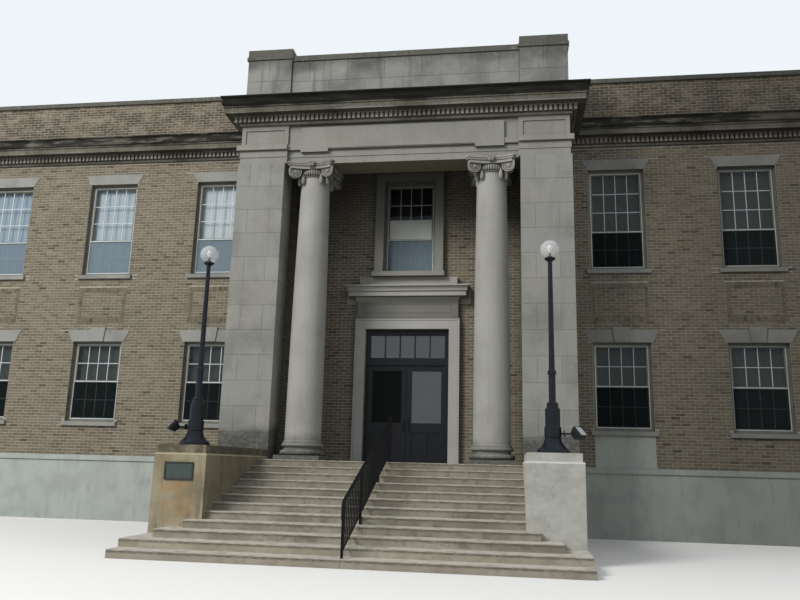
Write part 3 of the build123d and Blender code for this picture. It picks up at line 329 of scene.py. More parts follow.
def stone_finish(
    name, colour, dark, bands=(), mottle=0.5, streaks=0.0, crust=0.0, underside_shade=0.8, hollow_dirt_and_shade=0.35, shade_below=None
):
    """Limestone with mottling, weather streaks, dark bands between given levels, dirt and painted shade
    in hollows, and painted shade on faces turned down.

    Each band is (level where it starts, level where it is full, amount). Below the shade level
    the stone is evenly darker: painted shade.
    """
    finish = Finish(name, 0.88)
    up = finish.normal()[2]
    pick, light, _ = finish.tone()
    soft = finish.noise(1.3, 5)
    fine = finish.noise(14, 5)
    base = finish.stain(colour, (150, 147, 138), pick, 0.0, 1.0, 0.35)
    base = finish.stain(base, dark, light, 0.2, 1.0, 0.2)
    base = finish.stain(base, dark, soft, 0.4, 0.7, mottle * 0.6)
    base = finish.stain(base, (166, 164, 157), fine, 0.52, 0.8, 0.3)
    if streaks:
        runs = finish.noise(2.2, 5, (3.0, 3.0, 0.28))
        base = finish.stain(base, dark, runs, 0.5, 0.72, streaks)
    for low, high, amount in bands:
        level = finish.maths("ADD", finish.z, finish.band(soft, 0.3, 0.7, -0.09, 0.09))
        patch = finish.times(finish.band(level, low, high), finish.band(fine, 0.25, 0.6, 0.55, 1.0))
        base = finish.mix(base, (52, 52, 47), finish.times(patch, amount))
    # Painted shade: the stone below this level, such as the hood's frieze below its crown, is evenly darker.
    if shade_below:
        base = finish.stain(base, (70, 69, 63), finish.z, shade_below, shade_below - 0.06, 0.6)
    if crust:
        base = finish.stain(base, (64, 65, 58), up, 0.5, 0.9, crust)
    # Darker in corners and carved hollows: partly dirt, partly painted shade.
    base = finish.mix(base, (56, 53, 45), finish.hollow_darkening(0.05, hollow_dirt_and_shade))
    # Faces turned down are darker: painted shade.
    finish.colour(finish.stain(base, (96, 89, 66), up, -0.5, -0.9, underside_shade))
    return finish.bump(finish.noise(70, 5), 0.002)


def cornice_finish(name, corona_dirt, cyma_dirt, patchy):
    """Pale bed mould and dentils below a stained corona and a stained cyma, with dirt and painted shade
    between the dentils and painted shade on faces turned down.
    """
    finish = Finish(name, 0.88, IOR=1.25)
    up = finish.normal()[2]
    soft = finish.noise(1.1, 5)
    fine = finish.noise(13, 5)
    runs = finish.noise(2.4, 5, (3.0, 3.0, 0.3))
    faces = finish.any_of(
        ("COMPARE", "y", -dentil_out, 0.01),
        ("COMPARE", "y", depth + dentil_out, 0.01),
        ("COMPARE", "across", half_length + dentil_out, 0.01),
        ("COMPARE", "y", frieze_front - dentil_out, 0.01),
        ("COMPARE", "across", frieze_side + dentil_out, 0.01),
    )
    stone = finish.stain((150, 147, 137), (112, 109, 98), soft, 0.4, 0.7)
    stone = finish.stain(stone, (90, 87, 76), runs, 0.5, 0.75, 0.5)
    between = finish.maths("SUBTRACT", 1.0, faces)
    # Between the dentils: partly dirt, partly painted shade.
    row = finish.times(finish.band(finish.z, dentil_foot - 0.004, dentil_foot), between)
    stone = finish.mix(stone, (72, 69, 60), finish.times(row, 0.45))
    level = finish.maths("ADD", finish.z, finish.band(soft, 0.3, 0.7, -0.03, 0.03))
    dirt = finish.band(fine, 0.3, 0.65, corona_dirt, corona_dirt * 0.65)
    corona = finish.times(finish.band(level, dentil_head, dentil_head + 0.05), dirt)
    stone = finish.mix(stone, (60, 58, 50), corona)
    worn = finish.noise(2.4, 8, (0.6, 0.6, 3.5), 0.66)
    dirt = finish.band(worn, 0.46, 0.56, cyma_dirt, cyma_dirt * (1 - patchy))
    cyma = finish.times(finish.band(level, corona_head - 0.02, corona_head + 0.05), dirt)
    stone = finish.mix(stone, (22, 23, 21), cyma)
    # Faces turned down are darker: painted shade.
    finish.colour(finish.stain(stone, (52, 47, 38), up, -0.5, -0.9, 0.7))
    return finish.bump(finish.noise(60, 5), 0.002)


# Worn concrete: pale treads, a painted shadow on each riser below its nosing, a painted highlight along each
# nosing, broken by wear, with runs of dirt
finish = Finish("steps_concrete", 0.9)
up = finish.normal()[2]
share = finish.maths("FRACT", finish.maths("DIVIDE", finish.z, step_riser))
soft = finish.noise(1.1, 5)
runs = finish.noise(3.5, 4, (2.2, 1.0, 0.25))
base = finish.stain((152, 147, 134), (122, 116, 103), soft, 0.35, 0.7)
moss = finish.noise(5.5, 6, (1, 1, 1.5), 0.65)
base = finish.stain(base, (98, 93, 77), moss, 0.48, 0.66, 0.55)
base = finish.stain(base, (88, 83, 71), runs, 0.52, 0.78, 0.35)
base = finish.stain(base, (96, 91, 79), finish.z, 0.4, 0.9, 0.3)
base = finish.stain(base, (170, 163, 148), finish.z, 0.3, 0.2, 0.35)
# Painted shadow of the nosing across the top of each riser.
grain = finish.band(finish.noise(16, 5), 0.35, 0.65, 0.5, 0.9)
base = finish.mix(base, (78, 73, 62), finish.times(finish.band(share, 0.5, 0.84), grain))
# Painted highlight along the nosing's edge, broken by wear.
worn = finish.band(finish.noise(8, 5), 0.35, 0.6, 0.4, 0.95)
nosing_highlight = finish.times(finish.band(share, 0.86, 0.9), worn)
base = finish.mix(base, (172, 168, 156), nosing_highlight)
tread = finish.stain((172, 169, 159), (142, 138, 127), finish.noise(5, 5), 0.45, 0.7)
finish.colour(finish.stain(base, tread, up, 0.5, 0.9))
steps_concrete = finish.bump(finish.noise(60, 5), 0.002)


# Stained tan concrete on the left side and white paint, finely cracked, on the right, each with a painted
# highlight along the ledge
finish = Finish("cheek_concrete", 0.88)
soft = finish.noise(1.4, 5)
runs = finish.noise(2.6, 5, (2.5, 2.5, 0.3))
bare = finish.stain((150, 141, 118), (120, 110, 88), soft, 0.4, 0.7)
bare = finish.stain(bare, (82, 76, 62), runs, 0.52, 0.72, 0.7)
patchy = finish.band(finish.noise(7, 4), 0.3, 0.6, 0.3, 0.85)
cap = finish.times(finish.band(finish.z, 1.50, 1.56), patchy)
bare = finish.mix(bare, (70, 66, 54), cap)
inner = finish.band(finish.normal()[0], 0.4, 0.9, 0.0, 0.42)
bare = finish.mix(bare, (54, 51, 41), inner)
# Painted highlight: a light line along the ledge's edge, on both cheeks.
arris_highlight = finish.maths("COMPARE", finish.z, cheek_ledge - 0.012, 0.013)
bare = finish.mix(bare, (190, 182, 156), finish.times(arris_highlight, 0.6))
rust = finish.times(finish.band(finish.z, 1.1, 1.04), finish.band(finish.z, 0.35, 0.6))
below = finish.maths("COMPARE", finish.x, -3.04, 0.27)
patches = finish.times(rust, finish.band(finish.noise(5, 3), 0.35, 0.65, 0.0, 0.5))
bare = finish.mix(bare, (156, 124, 82), finish.times(below, patches))
paint = finish.stain((174, 174, 167), (166, 166, 159), finish.noise(4, 3), 0.42, 0.6)
values = {"Vector": finish.place, "Scale": 3.0, "Detail": 4.0}
wander = finish.node("ShaderNodeTexNoise", values).outputs["Color"]
values = {0: 0.16, 4: finish.place, 5: wander}
values = {"Vector": finish.node("ShaderNodeMix", values, data_type="VECTOR").outputs[1], "Scale": 2.6}
cells = finish.node("ShaderNodeTexVoronoi", values, feature="DISTANCE_TO_EDGE").outputs["Distance"]
here = finish.band(finish.noise(1.9, 2), 0.46, 0.58, 0.0, 0.32)
hair = finish.times(finish.band(cells, 0.0, 0.014, 1.0, 0.0), here)
paint = finish.mix(paint, (96, 94, 88), hair)
cloudy = finish.band(finish.noise(2.2, 6, (1, 1, 1.4), 0.62), 0.47, 0.6, 0.0, 0.3)
paint = finish.mix(paint, (140, 138, 130), cloudy)
paint = finish.mix(paint, (214, 214, 206), finish.times(arris_highlight, 0.85))
finish.colour(finish.mix(bare, paint, finish.maths("GREATER_THAN", finish.x, 0.0)))
cheek_concrete = finish.bump(finish.noise(4.5, 6), 0.03)


def paint_finish(name, colour, worn, roughness=0.6, amount=0.5, grain=40, ior=1.45):
    """Paint with faint runs and worn patches."""
    finish = Finish(name, roughness, IOR=ior)
    soft = finish.noise(2.0, 4)
    runs = finish.noise(5, 4, (2.0, 2.0, 0.4))
    base = finish.stain(colour, worn, soft, 0.4, 0.7, amount)
    finish.colour(finish.stain(base, worn, runs, 0.5, 0.75, amount))
    return finish.bump(finish.noise(grain, 4), 0.001)


# White blinds, each as bright or as grey as the first tone of its sheet says, with painted shade of folds
finish = Finish("blind_fabric", 0.9)
pick, _, _ = finish.tone()
base = finish.mix((160, 182, 202), (240, 251, 255), pick)
# Painted shade of folds across the flat sheet.
fold_shade = finish.band(finish.noise(3, 3, (3.0, 3.0, 0.2)), 0.4, 0.7, 0.0, 0.25)
finish.colour(finish.mix(base, (150, 170, 188), fold_shade))
blind_white = finish.bump(finish.noise(60, 3), 0.001)


# Roofing sheets a metre wide, lapped in darker seams, with old puddle stains
finish = Finish("roof_membrane", 0.95)
colours = ((90, 90, 87), (80, 80, 77), (60, 60, 58))
sheets = finish.drawn_courses(finish.place, colours, (7.5, 1.0), 0.02, 0.3, 0.4)
stains = finish.band(finish.noise(0.35, 6), 0.42, 0.75, 0.0, 0.3)
base = finish.mix(sheets["Color"], (116, 113, 104), stains)
finish.colour(finish.stain(base, (66, 66, 63), finish.noise(30, 4), 0.5, 0.75, 0.5))
membrane = finish.bump(sheets["Fac"], 0.006)


def glass_finish(name, colour, alpha, roughness=0.03, ior=2.0):
    finish = Finish(name, roughness, Alpha=alpha, IOR=ior)
    feed(finish.shader.inputs["Base Color"], colour)
    return finish.bump(finish.noise(1.1, 2), 0.01, 0.15)


def dress(names, material):
    """Gives CAD nodes a material."""
    for name in names.split():
        nodes[name].data.materials.clear()
        nodes[name].data.materials.append(material)


# The outer faces of the building, and both faces of the porch walls, carry modelled bricks
outer_faces = (
    ("LESS_THAN", "y", face_slack),
    ("GREATER_THAN", "y", depth - face_slack),
    ("GREATER_THAN", "across", half_length - face_slack),
)
porch_faces = (
    ("GREATER_THAN", "across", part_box("porch_side_walls")[1][0] - face_slack),
    ("LESS_THAN", "across", porch_inner_x + face_slack),
)
dress(
    "front_wing_walls back_wall side_walls walls_beside_door wall_over_door",
    wall_finish("wall_brickwork", outer_faces),
)
dress("porch_side_walls", wall_finish("porch_brickwork", porch_faces))
dress(
    "architrave architrave_ends frieze frieze_ends frieze_tablet centre_window_surround",
    stone_finish("limestone", (137, 136, 129), (108, 107, 99), streaks=0.2, crust=0.5),
)
dress("door_surround", stone_finish("door_limestone", (164, 163, 160), (142, 141, 138), crust=0.4, underside_shade=0.6))
hood_stone = stone_finish(
    "hood_limestone", (158, 157, 151), (128, 126, 119), mottle=0.7, crust=0.4, shade_below=hood_shade_level
)
dress("door_hood", hood_stone)
pier_stone = stone_finish(
    "pier_limestone", (138, 138, 134), (108, 108, 103), [(2.2, 1.95, 0.8)], mottle=1.0, streaks=0.25
)
dress("pilasters", pier_stone)
column_dirt = [(2.05, 1.75, 0.5), (1.72, 1.6, 0.6)]
dress(
    "column_bases column_shafts",
    stone_finish("column_limestone", (154, 153, 148), (120, 119, 113), column_dirt, streaks=0.25, hollow_dirt_and_shade=0.8),
)
capital_dirt = [(7.86, 7.97, 0.5)]
capital_stone = stone_finish(
    "capital_limestone", (146, 145, 138), (88, 86, 78), capital_dirt, mottle=0.9, crust=0.6, hollow_dirt_and_shade=0.95
)
dress("column_capitals", capital_stone)
dress("porch_cornice", cornice_finish("porch_cornice_limestone", 0.68, 0.98, 0.08))
dress("wing_cornices", cornice_finish("wing_cornice_limestone", 0.5, 0.85, 0.8))
dress(
    "parapet_coping attic_coping attic_pedestal_caps",
    stone_finish("coping_stone", (86, 86, 80), (62, 62, 56), streaks=0.4, crust=0.5),
)
attic_dirt = [(10.15, 10.5, 0.6)]
attic_stone = stone_finish(
    "attic_limestone", (134, 135, 133), (90, 91, 89), attic_dirt, mottle=1.0, streaks=0.55, crust=0.6
)
dress("attic_walls attic_pedestals", attic_stone)
dress(
    "window_lintels window_sills",
    stone_finish("lintel_limestone", (141, 141, 137), (104, 104, 101), mottle=0.8, streaks=0.15, crust=0.5),
)
dress("porch_base entrance_steps", steps_concrete)
dress("cheek_walls", cheek_concrete)
dress(
    "front_plinth back_plinth side_plinths apron_panel",
    paint_finish("plinth_paint", (164, 170, 165), (138, 144, 138), 0.7),
)
dress("ground_floor upper_floor", paint_finish("floor_concrete", (110, 107, 100), (90, 87, 80), 0.85))
dress("roof_deck porch_roof", membrane)
dress("porch_ceiling", paint_finish("porch_plaster", (150, 146, 134), (120, 116, 104), 0.9))
dress(
    "lower_window_frames upper_window_frames",
    paint_finish("window_paint", (116, 116, 105), (90, 90, 81)),
)
dress("lower_window_glass upper_window_glass", glass_finish("window_glass", (40, 50, 52), 0.16, ior=1.55))
dress("transom_glass right_door_glass", glass_finish("door_glass", (40, 46, 50), 0.55, ior=2.1))
# Painted shade: the left leaf's glass is a dark, nearly opaque copy of the door glass, for the unlit hall
# behind it.
dress("left_door_glass", glass_finish("shaded_left_door_glass", (12, 14, 13), 0.8, ior=1.15))
dress(
    "door_frame left_door_leaf right_door_leaf",
    paint_finish("door_paint", (27, 29, 31), (20, 21, 24), 0.5, 0.4, ior=1.3),
)
dress("lamp_posts", paint_finish("post_paint", (20, 24, 34), (11, 13, 18), 0.38, 0.5, ior=1.33))
dress("handrail", paint_finish("rail_paint", (13, 14, 17), (9, 9, 11), 0.5, 0.5, ior=1.25))
dress("lamp_globes", glass_finish("globe_glass", (225, 228, 228), 0.22, 0.05, 1.6))
housing_paint = paint_finish("housing_paint", (36, 37, 39), (26, 27, 28), 0.55, 0.4, ior=1.25)
dress("floodlights", housing_paint)

# What only the added pieces are made of
bar_paint = paint_finish("bar_paint", (206, 214, 218), (182, 189, 192))
blind_grey = paint_finish("blind_slats", (78, 86, 82), (58, 66, 62), 0.7, 0.4)
# A pale sheet that paints the sky's reflection on the middle window.
sky_reflection_sheet = paint_finish("sky_reflection_sheet", (218, 222, 216), (202, 206, 200), 0.9, 0.4)
shade_blue = paint_finish("window_shade", (124, 133, 145), (112, 121, 133), 0.9, 0.3)
# A dark sheet that paints the shade of the unlit rooms behind the windows.
interior_shade_paint = paint_finish("painted_interior_shade", (20, 23, 22), (14, 16, 15), 0.95, 0.3, ior=1.1)
pale_mesh = glass_finish("pale_screen", (128, 144, 156), 0.5, 1.0, 1.02)
screen_mesh = glass_finish("insect_screen", (30, 36, 36), 0.5, 1.0, 1.02)
bronze = paint_finish("plaque_bronze", (60, 72, 70), (44, 52, 50), 0.45, 0.6, 120)
bronze_dark = paint_finish("plaque_border", (44, 47, 42), (32, 34, 30), 0.5, 0.5)
lens_glass = glass_finish("lens_glass", (200, 204, 206), 0.9, 0.12, 1.6)
bulb_white = paint_finish("bulb_glass", (232, 233, 228), (215, 216, 210), 0.25, 0.2)


# Meshes

class Wall:
    """A face that pieces are set out on: u along it, z up and out away from it."""

    def __init__(self, origin, along, out):
        self.origin = Vector(origin)
        self.along = Vector(along)
        self.out = Vector(out)

    def point(self, u, z, out):
        place = self.origin + self.along * u + self.out * out
        return Vector((place.x, place.y, z))

    def locate(self, low, high):
        """The run and middle of a box, if it lies near this face."""
        middle = (Vector(low) + Vector(high)) / 2 - self.origin
        if abs(middle.dot(self.out)) > 0.45:
            return None
        size = Vector(high) - Vector(low)
        return middle.dot(self.along), abs(size.dot(self.along)) / 2


front = Wall((0, 0, 0), (1, 0, 0), (0, -1, 0))
back = Wall((0, depth, 0), (-1, 0, 0), (0, 1, 0))
left = Wall((-half_length, depth / 2, 0), (0, -1, 0), (-1, 0, 0))
right = Wall((half_length, depth / 2, 0), (0, 1, 0), (1, 0, 0))

box_faces = ((0, 3, 2, 1), (4, 5, 6, 7), (0, 1, 5, 4), (1, 2, 6, 5), (2, 3, 7, 6), (3, 0, 4, 7))


def in_scene(name, data):
    """Makes an object of its data and links it to the scene."""
    made = bpy.data.objects.new(name, data)
    bpy.context.scene.collection.objects.link(made)
    return made


class Shape:
    """Gathers many small solids into one mesh, with two random tones for each."""

    def __init__(self):
        self.points = []
        self.faces = []
        self.tones = []

    def add(self, points, faces, tone=None):
        start = len(self.points)
        tone = tone or (random.random(), random.random(), 0.0)
        self.points.extend(points)
        self.faces.extend(tuple(start + index for index in face) for face in faces)
        self.tones.extend([tone] * len(points))

    def slanted(self, wall, start, end, z, out, tone=None):
        """A block whose ends may slant: each end is given at its foot and at its head."""
        corners = [
            wall.point(u, level, reach)
            for reach in out
            for u, level in ((start[0], z[0]), (end[0], z[0]), (end[1], z[1]), (start[1], z[1]))
        ]
        self.add(corners, box_faces, tone)

    def box(self, wall, u, z, out, tone=None):
        """A block on a wall, between pairs of limits."""
        self.slanted(wall, (u[0], u[0]), (u[1], u[1]), z, out, tone)

    def block(self, x, y, z, tone=None):
        """A block between pairs of limits along X, Y and Z."""
        self.box(front, x, z, (-y[1], -y[0]), tone)

    def core(self, low, high):
        """The block that shows in the joints of the stones round it."""
        x, y = ((low[axis] + core_inset, high[axis] - core_inset) for axis in (0, 1))
        self.block(x, y, (low[2], high[2]), (0.0, 1.0, 0.0))

    def border(self, wall, u, z, width, out):
        """Four strips along the inside of a rectangle."""
        inner = (z[0] + width, z[1] - width)
        self.box(wall, u, (z[0], inner[0]), out)
        self.box(wall, u, (inner[1], z[1]), out)
        self.box(wall, (u[0], u[0] + width), inner, out)
        self.box(wall, (u[1] - width, u[1]), inner, out)

    def spun(self, centre, outline, segments=24):
        """A turned form, from (radius, height) pairs that start and end on the axis."""
        points = []
        for radius, height in outline:
            for turn in range(segments):
                angle = 2 * math.pi * turn / segments
                reach = Vector((radius * math.cos(angle), radius * math.sin(angle), height))
                points.append(Vector(centre) + reach)
        faces = []
        for ring in range(len(outline) - 1):
            for turn in range(segments):
                following = (turn + 1) % segments
                low, high = ring * segments, (ring + 1) * segments
                faces.append((low + turn, low + following, high + following, high + turn))
        faces.append(tuple(reversed(range(segments))))
        last = (len(outline) - 1) * segments
        faces.append(tuple(last + turn for turn in range(segments)))
        self.add(points, faces)

    def piece(self, name, material, slot, smooth=False, bevel=0.0):
        mesh = bpy.data.meshes.new(name)
        mesh.from_pydata(self.points, [], self.faces)
        tones = mesh.attributes.new("tone", "FLOAT_VECTOR", "POINT")
        tones.data.foreach_set("vector", [value for tone in self.tones for value in tone])
        mesh.materials.append(material)
        mesh.update()
        made = in_scene(name, mesh)
        if bevel:
            rounding = made.modifiers.new("edge", "BEVEL")
            rounding.width = bevel
            rounding.segments = 1
            rounding.limit_method = "ANGLE"
        if smooth:
            mesh.shade_smooth()
        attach(made, "building")
        return made


def solid_boxes(node):
    """The lowest and highest corner of each separate solid of a CAD node."""
    shape = bmesh.new()
    shape.from_mesh(nodes[node].data)
    bmesh.ops.remove_doubles(shape, verts=shape.verts, dist=0.0001)
    seen = set()
    boxes = []
    for start in shape.verts:
        if start in seen:
            continue
        seen.add(start)
        group = [start]
        for vert in group:
            for edge in vert.link_edges:
                other = edge.other_vert(vert)
                if other not in seen:
                    seen.add(other)
                    group.append(other)
        columns = list(zip(*(vert.co for vert in group)))
        boxes.append((tuple(map(min, columns)), tuple(map(max, columns))))
    shape.free()
    return boxes


# Brickwork

class Stone:
    """What bricks stop at: a trapezoid on a wall, given by its half widths."""

    def __init__(self, u, z, foot, head=None):
        self.u = u
        self.z = z
        self.foot = foot
        self.head = foot if head is None else head

    def half_width(self, level):
        """Its half width at a level, or at its nearer end."""
        share = (level - self.z[0]) / (self.z[1] - self.z[0])
        return self.foot + (self.head - self.foot) * min(max(share, 0), 1)


def stones_on(wall):
    """Windows, sills, lintels and keystones on a wall, and where its brick panels are."""
    stones = []
    panels = []
    for node in ("lower_window_frames", "upper_window_frames", "window_sills", "window_lintels"):
        for low, high in solid_boxes(node):
            found = wall.locate(low, high)
            if not found or found[1] < 0.3:
                continue
            u, half = found
            if node != "window_lintels":
                stones.append(Stone(u, (low[2], high[2]), half))
            elif high[2] < ground_floor + 3.5:
                head = high[2] - keystone_rise
                stones.append(Stone(u, (low[2], head), half - lintel_splay, half))
                stones.append(Stone(u, (low[2], high[2]), keystone_half_foot, keystone_half_head))
            else:
                stones.append(Stone(u, (low[2], high[2]), half - lintel_splay, half))
            if node == "upper_window_frames" and not (wall is front and abs(u) < 1):
                panels.append((u, low[2]))
    return stones, panels


def subtract(pieces, low, high):
    """Cuts a stone out of runs. Each end of a run or stone is a pair: at its foot and at its head."""
    left_over = []
    for start, end in pieces:
        if max(high) <= max(start) or min(low) >= min(end):
            left_over.append((start, end))
            continue
        if min(low) > max(start):
            left_over.append((start, low))
        if max(high) < min(end):
            left_over.append((high, end))
    return left_over


def without_slivers(pieces):
    """Gives runs too short for a brick to the brick beside them."""
    kept = []
    for start, end in pieces:
        if kept and start[0] - kept[-1][1][0] < 2 * brick_joint:
            before = kept[-1]
            if min(end) - max(start) < shortest_brick or min(before[1]) - max(before[0]) < shortest_brick:
                kept[-1] = (before[0], end)
                continue
        kept.append((start, end))
    return kept


def lay_bricks(shape, wall, span, levels, stones=()):
    """Running bond between two ends and two levels, cut round the stones."""
    rows = round((levels[1] - levels[0]) / brick_course)
    course = (levels[1] - levels[0]) / rows
    for row in range(rows):
        low = levels[0] + row * course + half_joint
        high = low + course - brick_joint
        blocked = []
        trims = []
        for stone in stones:
            cover = min(high, stone.z[1]) - max(low, stone.z[0])
            if cover <= 0:
                continue
            halves = [stone.half_width(level) + half_joint for level in (low, high)]
            edges = ([stone.u - half for half in halves], [stone.u + half for half in halves])
            if cover > 0.3 * (high - low):
                blocked.append(edges)
            else:
                trims.append((edges, stone.z))
        shift = brick_pitch / 2 * (row % 2)
        index = math.floor((span[0] - shift) / brick_pitch)
        pieces = []
        while index * brick_pitch + shift < span[1]:
            start = max(index * brick_pitch + shift + half_joint, span[0])
            end = min((index + 1) * brick_pitch + shift - half_joint, span[1])
            index += 1
            if end > start:
                pieces.append(((start, start), (end, end)))
        for edges in blocked:
            pieces = subtract(pieces, *edges)
        for start, end in without_slivers(pieces):
            if min(end) - max(start) < brick_joint:
                continue
            foot, head = low, high
            for edges, z in trims:
                if start[0] < edges[1][0] and end[0] > edges[0][0]:
                    if z[0] > foot:
                        head = min(head, z[0] - half_joint)
                    else:
                        foot = max(foot, z[1] + half_joint)
            if head - foot > thinnest_brick:
                out = (-brick_sunk, brick_proud + random.uniform(-brick_uneven, brick_uneven))
                shape.slanted(wall, start, end, (foot, head), out)


def lay_panel(shape, wall, u, sill):
    """A framed panel: bricks on end at top and foot, headers at the sides, bond within."""
    low, high = sill - panel_foot_drop, sill - panel_top_drop
    start, end = u - panel_half_width, u + panel_half_width
    out = (-brick_sunk, panel_proud)
    count = round((end - start) / brick_course)
    step = (end - start) / count
    for index in range(count):
        edge = start + index * step
        across = (edge + half_joint, edge + step - half_joint)
        shape.box(wall, across, (low + half_joint, low + panel_border), out)
        shape.box(wall, across, (high - panel_border, high - half_joint), out)
    inner = (low + panel_border, high - panel_border)
    rows = round((inner[1] - inner[0]) / brick_course)
    step = (inner[1] - inner[0]) / rows
    for row in range(rows):
        level = (inner[0] + row * step + brick_joint, inner[0] + (row + 1) * step)
        shape.box(wall, (start + half_joint, start + panel_border), level, out)
        shape.box(wall, (end - panel_border, end - half_joint), level, out)
    field = (start + panel_border + brick_joint, end - panel_border - brick_joint)
    lay_bricks(shape, wall, field, inner)


apron_low, apron_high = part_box("apron_panel")
apron_half = (apron_high[0] - apron_low[0]) / 2
apron = Stone((apron_low[0] + apron_high[0]) / 2, (apron_low[2], apron_high[2]), apron_half)
cornice_on_wall = Stone(0, (cornice_foot, parapet_foot), 2 * half_length)


def brick_wall(name, wall, span, *extra):
    """The bricks of a wall between two ends, round its windows, panels and cornice."""
    stones, panels = stones_on(wall)
    for u, sill in panels:
        stones.append(Stone(u, (sill - panel_foot_drop, sill - panel_top_drop), panel_half_width))
    stones += (cornice_on_wall, *extra)
    shape = Shape()
    lay_bricks(shape, wall, span, (ground_floor, parapet_top), stones)
    for u, sill in panels:
        if span[0] < u < span[1]:
            lay_panel(shape, wall, u, sill)
    shape.piece(name, brick_faces, "brick")


wing_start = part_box("porch_side_walls")[1][0] + brick_proud + brick_joint / 4
wing_end = half_length + brick_proud
side_end = depth / 2 - brick_sunk
brick_wall("left_wing_bricks", front, (-wing_end, -wing_start))
brick_wall("right_wing_bricks", front, (wing_start, wing_end), apron)
brick_wall("back_bricks", back, (-wing_end, wing_end))
brick_wall("left_side_bricks", left, (-side_end, side_end))
brick_wall("right_side_bricks", right, (-side_end, side_end))


# The wall behind the columns, round the door and the middle window, and both side walls
door_low, door_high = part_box("door_surround")
hood_low, hood_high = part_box("door_hood")
window_low, window_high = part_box("centre_window_surround")
stones = [
    Stone(0, (door_low[2], door_high[2]), door_high[0]),
    Stone(0, (door_high[2], hood_frieze_top), hood_frieze_half),
    Stone(0, hood_crown, hood_high[0]),
    Stone(0, (hood_block_foot, hood_high[2]), hood_block_half),
    Stone(0, (window_low[2], window_low[2] + centre_sill_height), window_high[0]),
    Stone(0, (window_low[2], window_high[2]), centre_surround_half),
]
shape = Shape()
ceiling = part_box("porch_ceiling")[0][2]
end = porch_inner_x - porch_corner_gap
lay_bricks(shape, front, (-end, end), (ground_floor, ceiling), stones)
side_low, side_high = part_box("porch_side_walls")
for side in (-1, 1):
    for x, out in ((porch_inner_x, -side), (side_high[0], side)):
        wall = Wall((side * x, 0, 0), (0, out, 0), (out, 0, 0))
        ends = sorted((side_low[1] * out, -brick_proud * out))
        lay_bricks(shape, wall, ends, (ground_floor, side_high[2]))
shape.piece("porch_bricks", brick_faces, "brick")


# Windows

def sash_bars(shape, wall, u, pane_half, z, rows, out):
    """The bars of a sash four panes wide: three uprights, and crosspieces between them."""
    pane = pane_half / 2
    half = bar_width / 2
    for column in (-1, 0, 1):
        across = u + column * pane
        shape.box(wall, (across - half, across + half), z, out)
    for row in range(1, rows):
        level = z[0] + (z[1] - z[0]) * row / rows
        for column in range(4):
            edge = u + (column - 2) * pane
            run = (edge + (half if column else 0), edge + pane - (half if column < 3 else 0))
            shape.box(wall, run, (level - half, level + half), out)


# Bars, light trims and insect screens, what hangs behind the glass, dark backings that paint the shade of the
# unlit rooms, and a pale sheet that paints a sky reflection on the middle window
bars, trims, screens, pale_screens = (Shape() for _ in range(4))
reflection_sheet, middle_shade, dark_backings, blinds, slats = (Shape() for _ in range(5))
for node, share, upper_rows in (("lower_window_frames", 0.50, 2), ("upper_window_frames", 0.38, 3)):
    for low, high in solid_boxes(node):
        for wall in (front, back, left, right):
            found = wall.locate(low, high)
            if found and found[1] > 0.3:
                break
        u, half = found
        out = ((Vector(low) + Vector(high)) / 2 - wall.origin).dot(wall.out)
        foot, head = low[2] + frame_width, high[2] - frame_width
        meeting = low[2] + (high[2] - low[2]) * share
        upper = (meeting + sash_width / 2, head - sash_width)
        lower = (foot + sash_width, meeting - sash_width / 2)
        edge = half - frame_width
        for z, rows, back_by in ((upper, upper_rows, 0.0), (lower, 2, lower_sash_back)):
            face = out + bar_out - back_by
            reach = (face - bar_depth / 2, face + bar_depth / 2)
            sash_bars(bars, wall, u, edge - sash_width, z, rows, reach)
        plane = out + screen_out
        sheet = (plane - sheet_thickness / 2, plane + sheet_thickness / 2)
        trim = (plane + trim_gap, plane + trim_gap + trim_depth)
        for start in (u - edge, u + edge - trim_width):
            trims.box(wall, (start, start + trim_width), (foot, head), trim)
        run = (u - edge + trim_width, u + edge - trim_width)
        for level in (foot, meeting - trim_width / 2, head - trim_width):
            trims.box(wall, run, (level, level + trim_width), trim)
        centre = wall is front and abs(u) < 1
        white = wall is front and u < -1 and node == "upper_window_frames"
        mesh = pale_screens if white or centre else screens
        mesh.box(wall, (u - edge + screen_gap, u + edge - screen_gap), (foot, lower[1]), sheet)
        behind = out - blind_back
        hung = (behind - sheet_thickness, behind)
        run = (u - edge, u + edge)
        # Painted shade: a dark sheet behind each window stands for the unlit room.
        dark_backings.box(wall, run, (foot, head), (hung[0] - room_back, behind - room_back))
        if centre:
            # Painted reflection: a pale sheet in front of the upper sash stands for the sky seen in its
            # glass.
            drop = meeting + (high[2] - meeting) * 0.36
            reflection_sheet.box(wall, run, (meeting, drop), sheet)
            middle_shade.box(wall, run, (low[2], meeting), hung)
        elif white:
            # Painted reflection: the blinds grow greyer and bluer toward the wing's end, standing in for what
            # that glass reflects.
            bright = (half_length + u) / (half_length - portico_half)
            blinds.box(wall, run, (low[2], high[2]), hung, (bright, 0.5, 0.0))
        else:
            for index in range(int((high[2] - meeting) / slat_pitch)):
                level = high[2] - slat_pitch * index
                z = (level - slat_pitch + slat_gap, level - slat_gap)
                slats.box(wall, run, z, (behind - slat_depth, behind))
for shape, name, material in (
    (bars, "window_bars", bar_paint),
    (screens, "window_screens", screen_mesh),
    (pale_screens, "pale_screens", pale_mesh),
    (trims, "window_trims", bar_paint),
    (reflection_sheet, "sky_reflection_sheet", sky_reflection_sheet),
    (middle_shade, "middle_shade", shade_blue),
    (dark_backings, "window_shade_backings", interior_shade_paint),
    (blinds, "window_blinds", blind_white),
    (slats, "window_slats", blind_grey),
):
    shape.piece(name, material, "window_paint")


# Ashlar blocks

